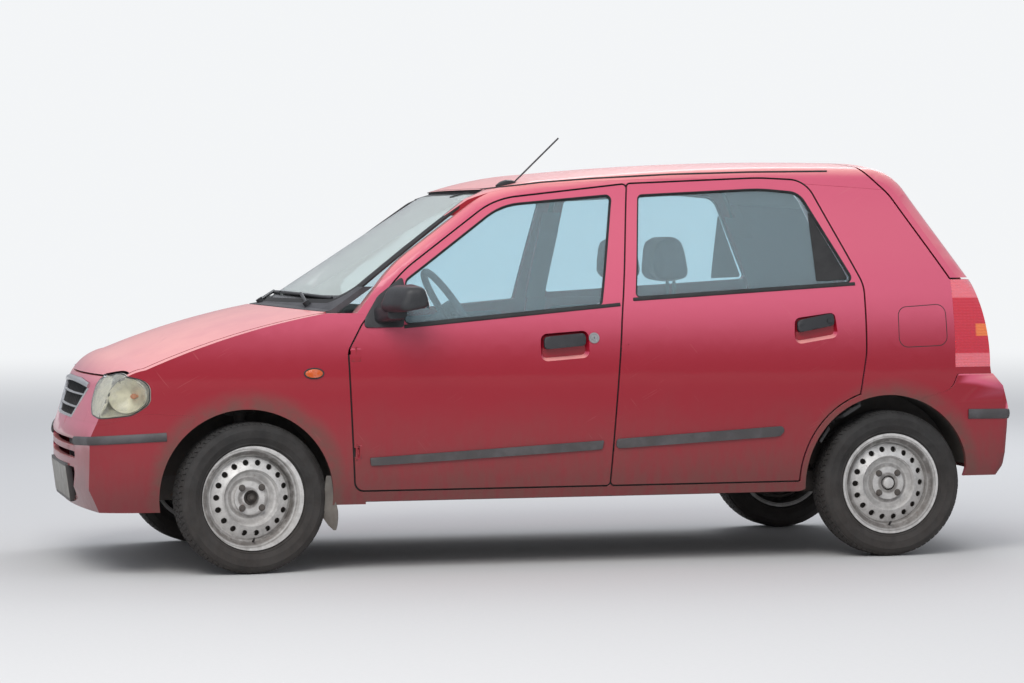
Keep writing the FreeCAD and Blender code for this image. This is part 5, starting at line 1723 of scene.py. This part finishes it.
class Lamps(Dresser):
    """Headlamps with their bowls and lenses."""

    def build(self) -> None:
        """Make both headlamps."""
        skin = self.skin_of("headlamps", "front_fenders", "front_panel", "front_bumper", "bonnet")
        outline = outline_of(HEADLAMP, 18)

        def place(s: float, z: float) -> Spot:
            """Point of the left lamp's face, over the joints between the panels.

            Args:
                s: Distance across the corner.
                z: Height.

            Returns:
                The point and its outward direction.
            """
            offsets = ((0, 0), (2, 0), (-2, 0), (0, 2), (0, -2))
            spots = [self.corner(skin, s + ds * MM, z + dz * MM) for ds, dz in offsets]
            point, normal = min(spots, key=lambda spot: spot[0].dot(INWARDS))
            level = Vector((DIAGONAL, -DIAGONAL, 0.0))
            return level * s + UP * z + INWARDS * point.dot(INWARDS), normal

        pair(patch("headlamp_lens_left", grown(outline, -0.0025), place, LAMP_LENS, 0.0, -0.0028, 0.012, 0.0008))
        rows = []
        for shrink, depth in ((0.001, 0.001), (0.001, 0.006), (0.006, 0.008), (0.012, 0.024), (0.03, 0.046)):
            rows.append([place(s, z)[0] + INWARDS * depth for s, z in grown(outline, -shrink)])
        pair(loft(rows, (-1,)).piece("headlamp_bowl_left", LAMP_MIRROR))
        rim = [place(s, z) for s, z in grown(outline, -0.0015)]
        section = [(-1.5, -6), (-1.5, -1), (0.6, -0.6), (3, -2.4), (3, -6)]
        pair(ribbon("headlamp_rim_left", rim, section, BLACK_TRIM, closed=True))
        for label, s, z, width, height, depth in (("outer", -0.623, 0.63, 0.112, 0.12, 0.007),
                                                  ("inner", -0.753, 0.626, 0.13, 0.128, 0.012)):
            dish = self.dish(place, s, z, width, height, depth)
            pair(dish.piece(f"headlamp_{label}_reflector_left", LAMP_MIRROR))
        point = place(-0.607, 0.628)[0] + INWARDS * 0.032
        bulb = turned([(0, 22), (7, 20), (10, 12), (9, 4), (6, 0), (6, -12)], point, -INWARDS, 20)
        pair(bulb.piece("headlamp_bulb_left", BULB))

    @staticmethod
    def dish(place: Place, s: float, z: float, width: float, height: float, depth: float) -> Shape:
        """Oval reflector behind the lens.

        Args:
            place: Gives the lens's surface.
            s: Its middle across the corner.
            z: Its height.
            width: Its width.
            height: Its height from foot to top.
            depth: Depth of its rim behind the lens.

        Returns:
            The shape.
        """
        rows = []
        for share in (1.04, 1.0, 0.96, 0.85, 0.7, 0.5, 0.3, 0.16, 0.02):
            inner = max(0.0, 1.0 - share * share)
            ring = []
            for u, v in ellipse(s, z, width * share, height * share, 36):
                edge = s + (u - s) / share, z + (v - z) / share
                point = place(*edge)[0].lerp(place(s, z)[0], 1 - share)
                ring.append(point + INWARDS * (depth + 0.034 * inner + (0.004 if share > 1.0 else 0.0)))
            rows.append(ring)
        return loft(rows, (-1,))


class Nose(Dresser):
    """Front and rear details: grille back, plates and tailgate lock."""

    def build(self) -> None:
        """Make all pieces."""
        self.grille()
        self.plate("front_plate", -1, "body", 0.303, 0.008, (0.24, 0.43))
        self.plate("rear_plate", 1, "tailgate", 0.79, 0.005, (0.72, 0.86))
        self.tail_handle()

    def grille(self) -> None:
        """Dark backing with fins, and the wide bright bar over the grille."""
        outline = outline_of(GRILLE)
        carry(patch("grille_back", grown(outline, 0.012),
                    lambda y, z: (Vector((-1.668 + 0.1 * y * y, y, z)), -ALONG), BLACK_TRIM, 0.0, -0.003, 0.05, 0.0))
        frame = [(0.5, -16), (0.5, 0), (2, 2), (9, 2), (12, -2), (12, -16)]
        rail = [nose(y, z) for y, z in outline]
        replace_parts(carry(ribbon("grille_frame", rail, frame, CHROME, closed=True)), "grille")
        slat = [(-4.5, -14), (-4.5, -3), (-3, -1), (3, -1), (4.5, -3), (4.5, -14)]
        for i, (z, half) in enumerate(((0.576, 0.285), (0.622, 0.348))):
            rail = [nose(y / 16 * half, z) for y in range(-16, 17)]
            carry(ribbon(f"grille_slat_{i + 1}", rail, slat, CHROME))
        rib = [(-1.5, -15), (-1.5, -7), (1.5, -7), (1.5, -15)]
        ribs = []
        for i in range(-8, 9):
            half = 0.664 - 0.012 * abs(i) / 8
            foot = 0.546 + max(0.0, abs(i) - 5) * 0.034
            ribs.append(ribbon(f"grille_rib_{i}", [nose(i * 0.043, z) for z in (foot, half)], rib, BLACK_TRIM))
        carry(joined("grille_ribs", ribs, BLACK_TRIM))
        widths = (-0.39 + 0.78 * i / 40 for i in range(41))
        top = [nose(y, 0.668 - 0.085 * y ** 2) for y in widths]
        bar = [(-9, -6), (-9, 3), (-6, 6), (0, 7), (8, 6), (10, 3), (10, -6)]
        carry(ribbon("grille_bar", top, bar, CHROME))

    def plate(self, name: str, hand: int, body: str, z: float, proud: float, ends: tuple[float, float]) -> None:
        """Blank number plate in its holder.

        Args:
            name: Its name.
            hand: -1 at the front, 1 at the rear.
            body: Body it rides on.
            z: Height of its middle.
            proud: How far the holder stands off the body.
            ends: Two heights at which the body's slope is taken.
        """
        foot, head = ((nose(0.0, level) if hand < 0 else self.skin.end(0.0, level, hand))[0] for level in ends)
        up = (head - foot).normalized()
        normal = up.cross(AXLE * -hand).normalized()
        middle = foot + up * ((z - foot.z) / up.z)
        place = plane(middle, up, normal)
        holder = box_outline((-266, -67), (266, 72), 8)
        carry(patch(f"{name}_holder", holder, place, BLACK_TRIM, proud, -0.012, 0.2, 0.0015), body)
        sheet = box_outline((-259, -55), (259, 60), 6)
        carry(patch(name, sheet, place, PLATE, proud + 0.0018, proud - 0.001, 0.1, 0.0007), body)

    def tail_handle(self) -> None:
        """Grip bar over the rear plate, and the tailgate's lock."""
        rail = [self.skin.end(y / 20 * 0.3, 0.885, 1) for y in range(-20, 21)]
        section = [(-16, -1), (-16, 8), (-8, 15), (8, 15), (14, 9), (15, -1)]
        carry(ribbon("tailgate_grip", rail, section, STRIP_RUBBER), "tailgate")
        point, normal = self.skin.end(0.0, 0.925, 1)
        profile = [(0, 3), (8, 3), (9, 1.6), (12, 1.6), (13, 3.4), (17, 3), (18, -2)]
        carry(turned(profile, point, normal, 36).piece("tailgate_lock", LOCK_STEEL), "tailgate")


TREAD_COUNT = 76
TREAD_FOOT = 0.2565
TREAD_TOP = 0.2655
SHOULDER = 0.04
SHOULDER_FALL = 9.0
# Inner and outer edge in millimetres, length as a share of the pitch, and slant
TREAD_ROWS = [(-62, -41, 0.86, 0.25), (-37, -15, 0.84, -0.35), (-11, 11, 0.93, 0.0), (15, 37, 0.84, 0.35),
              (41, 62, 0.86, -0.25)]
HOLE_CIRCLE = 0.1245
HUB_ENDS = {
    "front": ("hub_nut", [(0, 26), (7, 26), (8, 24), (8, 18), (14, 18), (14.5, 10), (26.5, 10), (26.5, 4)], CASTING, 24),
    "rear": ("grease_cap", [(0, 45), (13, 44), (19, 41), (21, 36), (21.5, 20), (26.5, 18), (26.5, 4)], WHEEL_STEEL,
             40),
}
TYRE_PROFILE = [(175.5, 56.2), (183.6, 58.2), (188, 62.5), (190, 65.2), (193, 65.6), (194, 64.8), (199, 67.6),
                (210, 73), (213, 74.6), (214, 74.4), (224, 76.8), (236, 76.4), (238, 76.8), (240, 75.4), (248, 72),
                (254, 67.5), (258, 60), (259.5, 50)]


@dataclass
class Wheel(Dresser):
    """Tyre with its tread, and the bolts, valve and cap of one wheel."""

    axle: str = "front"
    hand: Side = Side.LEFT

    def __post_init__(self) -> None:
        """Find the wheel's place and its axis from its packed tyre."""
        self.word = f"{self.axle}_{self.hand.word}"
        node = self.nodes[f"tyre_{self.word}"]
        points = np.array([vertex.co for vertex in node.data.vertices])
        spread = np.cov((points - points.mean(axis=0)).T)
        out = Vector(np.linalg.eigh(spread)[1][:, 0])
        out *= math.copysign(1.0, out.y * self.hand.value)
        up = (UP - out * out.z).normalized()
        turn = Matrix((out.cross(up), out, up)).transposed().to_4x4()
        self.frame = Matrix.Translation(Vector(points.mean(axis=0))) @ turn
        self.body = f"wheel_{self.word}"

    def fit(self, piece: Piece) -> Piece:
        """Move a piece built about the y axis to the wheel and let it ride there."""
        piece.data.transform(self.frame)
        piece.data.update()
        return carry(piece, self.body)

    def lathe(self, name: str, profile: Rows, finish: Finish, steps: int) -> None:
        """Fit a piece turned about the axle from a section in millimetres."""
        shape = turned(profile, ORIGIN, AXLE, steps)
        self.fit(shape.piece(f"{name}_{self.word}", finish))

    def build(self) -> None:
        """Make all pieces."""
        for make in (self.tyre, self.bolts, self.cap, self.valve, self.drum):
            make()

    def tyre(self) -> None:
        """Worn tyre: turned carcass with rows of tread blocks."""
        loop = [*TYRE_PROFILE, *[(radius, -out) for radius, out in reversed(TYRE_PROFILE)]]
        carcass = turned(loop, ORIGIN, AXLE, 128, closed=True).piece("carcass", TYRE_RUBBER, 30.0)
        rows = []
        pitch = 2 * math.pi / TREAD_COUNT
        for index, (low, high, share, skew) in enumerate(TREAD_ROWS):
            block = self.block(low * MM, high * MM, pitch * share, skew * pitch)
            piece = block.piece(f"tread_{index}", TYRE_RUBBER, 30.0)
            rows.append(RingOfCopies.run(piece, TREAD_COUNT, TYRE_RUBBER, wear=0.002, seed=index + 1, smooth=30.0))
        tyre = self.fit(joined(f"worn_tyre_{self.word}", [carcass, *rows], TYRE_RUBBER, 30.0))
        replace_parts(tyre, f"tyre_{self.word}")

    @staticmethod
    def block(low: float, high: float, angle: float, skew: float) -> Shape:
        """One tread block between two distances from the middle plane.

        Args:
            low: Inner edge.
            high: Outer edge.
            angle: Its length round the tyre.
            skew: How far its outer edge is turned ahead of its inner edge.

        Returns:
            The shape.
        """
        rings = []
        for lift, shrink in ((0.0, 0.0), (0.9, 0.0), (1.0, 0.0012)):
            ring = []
            for across_share, turn in ((0, 0), (0.5, 0), (1, 0), (1, 0.5), (1, 1), (0.5, 1), (0, 1), (0, 0.5)):
                out = low + (high - low) * across_share
                drop = max(0.0, abs(out) - SHOULDER) ** 2 * SHOULDER_FALL
                top = TREAD_TOP - drop
                radius = TREAD_FOOT - drop + (top - TREAD_FOOT + drop) * lift
                inset = shrink / 0.26
                at = skew * across_share + (angle - 2 * inset) * turn + inset
                side = shrink * (1 - 2 * across_share)
                ring.append(Vector((radius * math.sin(at), out + side, radius * math.cos(at))))
            rings.append(ring)
        return loft(rings, (-1,))

    def bolts(self) -> None:
        """Four wheel nuts on their circle."""
        nut = turned([(0, 46), (5.5, 46), (6, 45), (9.2, 44.4), (9.8, 43), (9.8, 35), (12.5, 34), (12.5, 33)],
                     Vector((0.0354, 0.0, 0.0354)), AXLE, 12)
        ring = RingOfCopies.run(nut.piece("nut", LOCK_STEEL, 25.0), 4, CASTING, smooth=25.0)
        ring.name = f"wheel_nuts_{self.word}"
        self.fit(ring)

    def cap(self) -> None:
        """Hub end: a bare stub with its nut in front, a grease cap behind."""
        self.lathe(*HUB_ENDS[self.axle])

    def drum(self) -> None:
        """Brake drum behind the disc, and the mud in its lowest holes."""
        plate = [(62, 0), (62, 2), (140, 6), (146, 2), (146, -26), (138, -26), (136, -4), (66, -4), (62, 0)]
        self.lathe("brake_drum", plate, CASTING, 48)
        plugs = []
        for angle in (-110, -90, -70):
            turn = math.radians(angle)
            spot = Vector((math.cos(turn), 0.0, math.sin(turn))) * HOLE_CIRCLE
            lump = turned([(0, 27), (7, 26), (11.5, 23), (11.5, 18), (0, 17)], spot, AXLE, 16)
            plugs.append(lump.piece("mud_plug", WHEEL_STEEL))
        self.fit(joined(f"mud_plugs_{self.word}", plugs, WHEEL_STEEL))

    def valve(self) -> None:
        """Rubber valve stem in the rim."""
        stem = turned([(6, -3), (6, 3), (4, 7), (3.6, 22), (4.2, 22.5), (4.2, 32), (3, 33), (0, 33)],
                      Vector((0.0, 0.034, -0.157)), Vector((0.0, 0.85, 0.52)), 16)
        self.fit(stem.piece(f"valve_{self.word}", SEAL_RUBBER))


PADS = [
    ("seat_cushion_left", [(-158, 322, 30), (-162, 440, 42), (-90, 470, 60), (290, 425, 50), (330, 330, 30)],
     (-556, -104), SEAT_CLOTH, 0.8),
    ("seat_back_left", [(300, 428, 40), (330, 440, 20), (438, 950, 40), (530, 945, 38), (432, 410, 60),
                        (330, 400, 30)], (-550, -110), SEAT_CLOTH, 0.8),
    ("head_restraint_left", [(388, 1004, 40), (402, 1172, 50), (500, 1180, 50), (540, 1008, 34)],
     (-448, -212), SEAT_SIDE, 0.9),
    ("bench_cushion", [(630, 345, 30), (622, 440, 44), (690, 470, 50), (975, 420, 40), (985, 345, 30)],
     (-505, 505), SEAT_CLOTH, 0.75),
    ("bench_back", [(985, 440, 30), (1010, 425, 20), (1092, 880, 30), (1155, 882, 30), (1100, 410, 30)],
     (-505, 505), SEAT_CLOTH, 0.75),
]


class Seats:
    """Padded front seats and rear bench."""

    def build(self) -> None:
        """Make the pads, their frames and head restraints."""
        for name, rows, width, finish, fill in PADS:
            pad = self.pad(name, rows, width, finish)
            front = name.endswith("left")
            for piece in pair(pad) if front else [carry(pad)]:
                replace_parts(piece, "front_seats" if front else "rear_seat")
        self.frames()

    @staticmethod
    def pad(name: str, rows: Rows, width: tuple[float, float], finish: Finish) -> Piece:
        """Swollen pad from its side outline.

        Args:
            name: Its name.
            rows: Corner rows of its side outline.
            width: Its two sides in millimetres.
            finish: Its cloth.

        Returns:
            The pad.
        """
        low, high = width[0] * MM, width[1] * MM
        outline = grown(outline_of(rows, 30), -0.006)
        stations = [0.0, 0.012, 0.035, *[0.08 + 0.84 * i / 8 for i in range(9)], 0.965, 0.988, 1.0]
        rings = []
        for share in stations:
            edge = min(share, 1 - share)
            shrink = 0.018 * max(0.0, 1 - edge / 0.08) ** 2
            ring = grown(outline, -shrink)
            rings.append([Vector((x, low + (high - low) * share, z)) for x, z in ring])
        pad = loft(rings).piece(name, finish, 60.0)
        swell(pad)
        return pad

    def frames(self) -> None:
        """Seat runners and restraint posts."""
        rails = []
        for y in (-0.49, -0.17):
            rows = [[Vector((x, y + side, z)) for side, z in metres([(-16, 246), (-16, 312), (16, 312), (16, 246)])]
                    for x in (-0.085, 0.335)]
            rails.append(loft(rows).piece("rail", CASTING))
        for y in (-0.375, -0.285):
            post = turned([(0, 0), (6, 0), (6, 110), (0, 110)], Vector((0.484, y, 0.9)), UP, 16)
            rails.append(post.piece("post", CASTING))
        for piece in pair(joined("seat_frame_left", rails, CASTING)):
            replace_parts(piece, "front_seats")


CLOTH_FACE = 0.016
SWELL_LIMIT = 0.012
SWELL_FRAMES = 20


def swell(pad: Piece) -> None:
    """Blow a pad up as sewn cloth and keep the result.

    Args:
        pad: Piece to change.
    """
    remesh = pad.modifiers.new("remesh", "REMESH")
    remesh.mode = "VOXEL"
    remesh.voxel_size = CLOTH_FACE
    base = evaluated(pad)
    pad.modifiers.clear()
    pad.data = base
    start = [vertex.co.copy() for vertex in base.vertices]
    cloth = pad.modifiers.new("cloth", "CLOTH")
    cloth.settings.use_pressure = True
    cloth.settings.uniform_pressure_force = 4.0
    cloth.settings.effector_weights.gravity = 0.0
    cloth.point_cache.frame_end = SWELL_FRAMES
    for frame in range(1, SWELL_FRAMES + 1):
        bpy.context.scene.frame_set(frame)
    blown = evaluated(pad)
    for vertex, first in zip(blown.vertices, start):
        move = vertex.co - first
        if move.length > SWELL_LIMIT:
            vertex.co = first + move.normalized() * SWELL_LIMIT
    bpy.context.scene.frame_set(1)
    pad.modifiers.clear()
    pad.data = blown
    blown.shade_smooth()


@dataclass
class Studio:
    """Pale floor, soft light and the camera of the photograph."""

    camera_place: tuple[float, float, float] = (-2.8768, -12.0651, 1.1378)
    yaw: float = 13.2193
    pitch: float = -1.6508
    roll: float = -0.3448
    focal_length: float = 115.7
    sensor_width: float = 36.0
    floor_radius: float = 60.0
    floor_colour: Colour = (0.62, 0.62, 0.615)
    sky_colour: Colour = (0.9, 0.93, 1.0)

    def camera(self) -> None:
        """Stand the camera where the photograph was taken."""
        yaw, pitch, roll = (math.radians(angle) for angle in (self.yaw, self.pitch, self.roll))
        ahead = Vector((math.sin(yaw) * math.cos(pitch), math.cos(yaw) * math.cos(pitch), math.sin(pitch)))
        level = Vector((math.cos(yaw), -math.sin(yaw), 0.0))
        above = level.cross(ahead)
        right = level * math.cos(roll) + above * math.sin(roll)
        up = above * math.cos(roll) - level * math.sin(roll)
        data = bpy.data.cameras.new("photo_camera")
        data.lens = self.focal_length
        data.sensor_width = self.sensor_width
        camera = linked("photo_camera", data)
        turn = Matrix((right, up, -ahead)).transposed().to_4x4()
        camera.matrix_world = Matrix.Translation(Vector(self.camera_place)) @ turn
        bpy.context.scene.camera = camera

    def world(self) -> None:
        """Even sky light, with a pale background for what the camera sees."""
        world = bpy.data.worlds.new("pale_room")
        bpy.context.scene.world = world
        graph = blank(world)
        paths = graph.add("ShaderNodeLightPath").outputs
        direct = graph.most(paths["Is Camera Ray"], paths["Is Transmission Ray"])
        height = graph.split(graph.add("ShaderNodeTexCoord").outputs["Generated"])[2]
        sky = graph.ramp(height, -0.05, 0.5, 0.55, 1.0)
        colour = graph.mix(direct, self.sky_colour, PALE)
        strength = graph.most(direct, graph.times(sky, 0.8))
        background = graph.add("ShaderNodeBackground", {"Color": colour, "Strength": strength})
        graph.add("ShaderNodeOutputWorld", {0: background.outputs[0]})

    def floor(self) -> None:
        """Pale floor that keeps the car's shadow and fades into the background."""
        work = bmesh.new()
        bmesh.ops.create_circle(work, cap_ends=True, segments=96, radius=self.floor_radius)
        mesh = meshed("floor", work)
        floor = linked("floor", mesh)
        material = bpy.data.materials.new("pale_floor")
        graph = blank(material)
        place = graph.place()
        grain = graph.noise(place, 55.0, 6.0, 0.7)
        colour = graph.mix(graph.ramp(grain, 0.3, 0.7, 0.0, 0.12), self.floor_colour, (0.5, 0.5, 0.5))
        plain = graph.add("ShaderNodeBsdfPrincipled", {"Base Color": colour, "Roughness": 0.9})
        glow = graph.add("ShaderNodeEmission", {"Color": (*PALE, 1.0), "Strength": 1.0})
        distance = graph.add("ShaderNodeVectorMath", {0: place}, operation="LENGTH").outputs["Value"]
        far = graph.ramp(distance, 6.0, 24.0)
        mixed = graph.add("ShaderNodeMixShader", {0: far, 1: plain.outputs[0], 2: glow.outputs[0]})
        graph.add("ShaderNodeOutputMaterial", {0: mixed.outputs[0]})
        mesh.materials.append(material)

    def lamp(self, name: str, place: Sequence[float], size: float, power: float, colour: Colour) -> None:
        """Square soft lamp that shines at the car's middle.

        Args:
            name: Name of the lamp.
            place: Where it hangs.
            size: Its side.
            power: Its power in watts.
            colour: Its colour.
        """
        data = bpy.data.lights.new(name, "AREA")
        data.energy = power
        data.size = size
        data.color = colour
        lamp = linked(name, data)
        lamp.location = place
        lamp.rotation_mode = "QUATERNION"
        lamp.rotation_quaternion = (Vector((0.0, 0.0, 0.7)) - Vector(place)).to_track_quat("-Z", "Y")

    def build(self) -> None:
        """Set up the view, the light and the floor."""
        self.camera()
        self.world()
        self.floor()
        self.lamp("high_left", (-3.0, -6.0, 6.5), 5.0, 420.0, (1.0, 0.98, 0.95))
        self.lamp("high_right", (3.5, 6.0, 6.0), 5.0, 200.0, (0.95, 0.97, 1.0))
        bpy.context.scene.view_settings.view_transform = "Standard"


def corners(bounds: tuple[Vector, Vector]) -> list[list[float]]:
    """Box corners as plain lists of numbers."""
    return [list(corner) for corner in bounds]


def main() -> None:
    """Load the frame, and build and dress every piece."""
    logging.basicConfig(level=logging.INFO, format="%(name)s: %(message)s")
    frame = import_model()
    Studio().build()
    nodes = frame["nodes"]
    Construction(nodes).dress()
    for assembly in (Bodywork, Glazing, Sides, Lamps, Nose):
        log.info("building %s", assembly.__name__)
        assembly(nodes).build()
    for axle in ("front", "rear"):
        for hand in Side:
            Wheel(nodes, axle, hand).build()
    Seats().build()
    log.info("dressed %d nodes", len(frame["nodes"]))


if __name__ == "__main__":
    main()
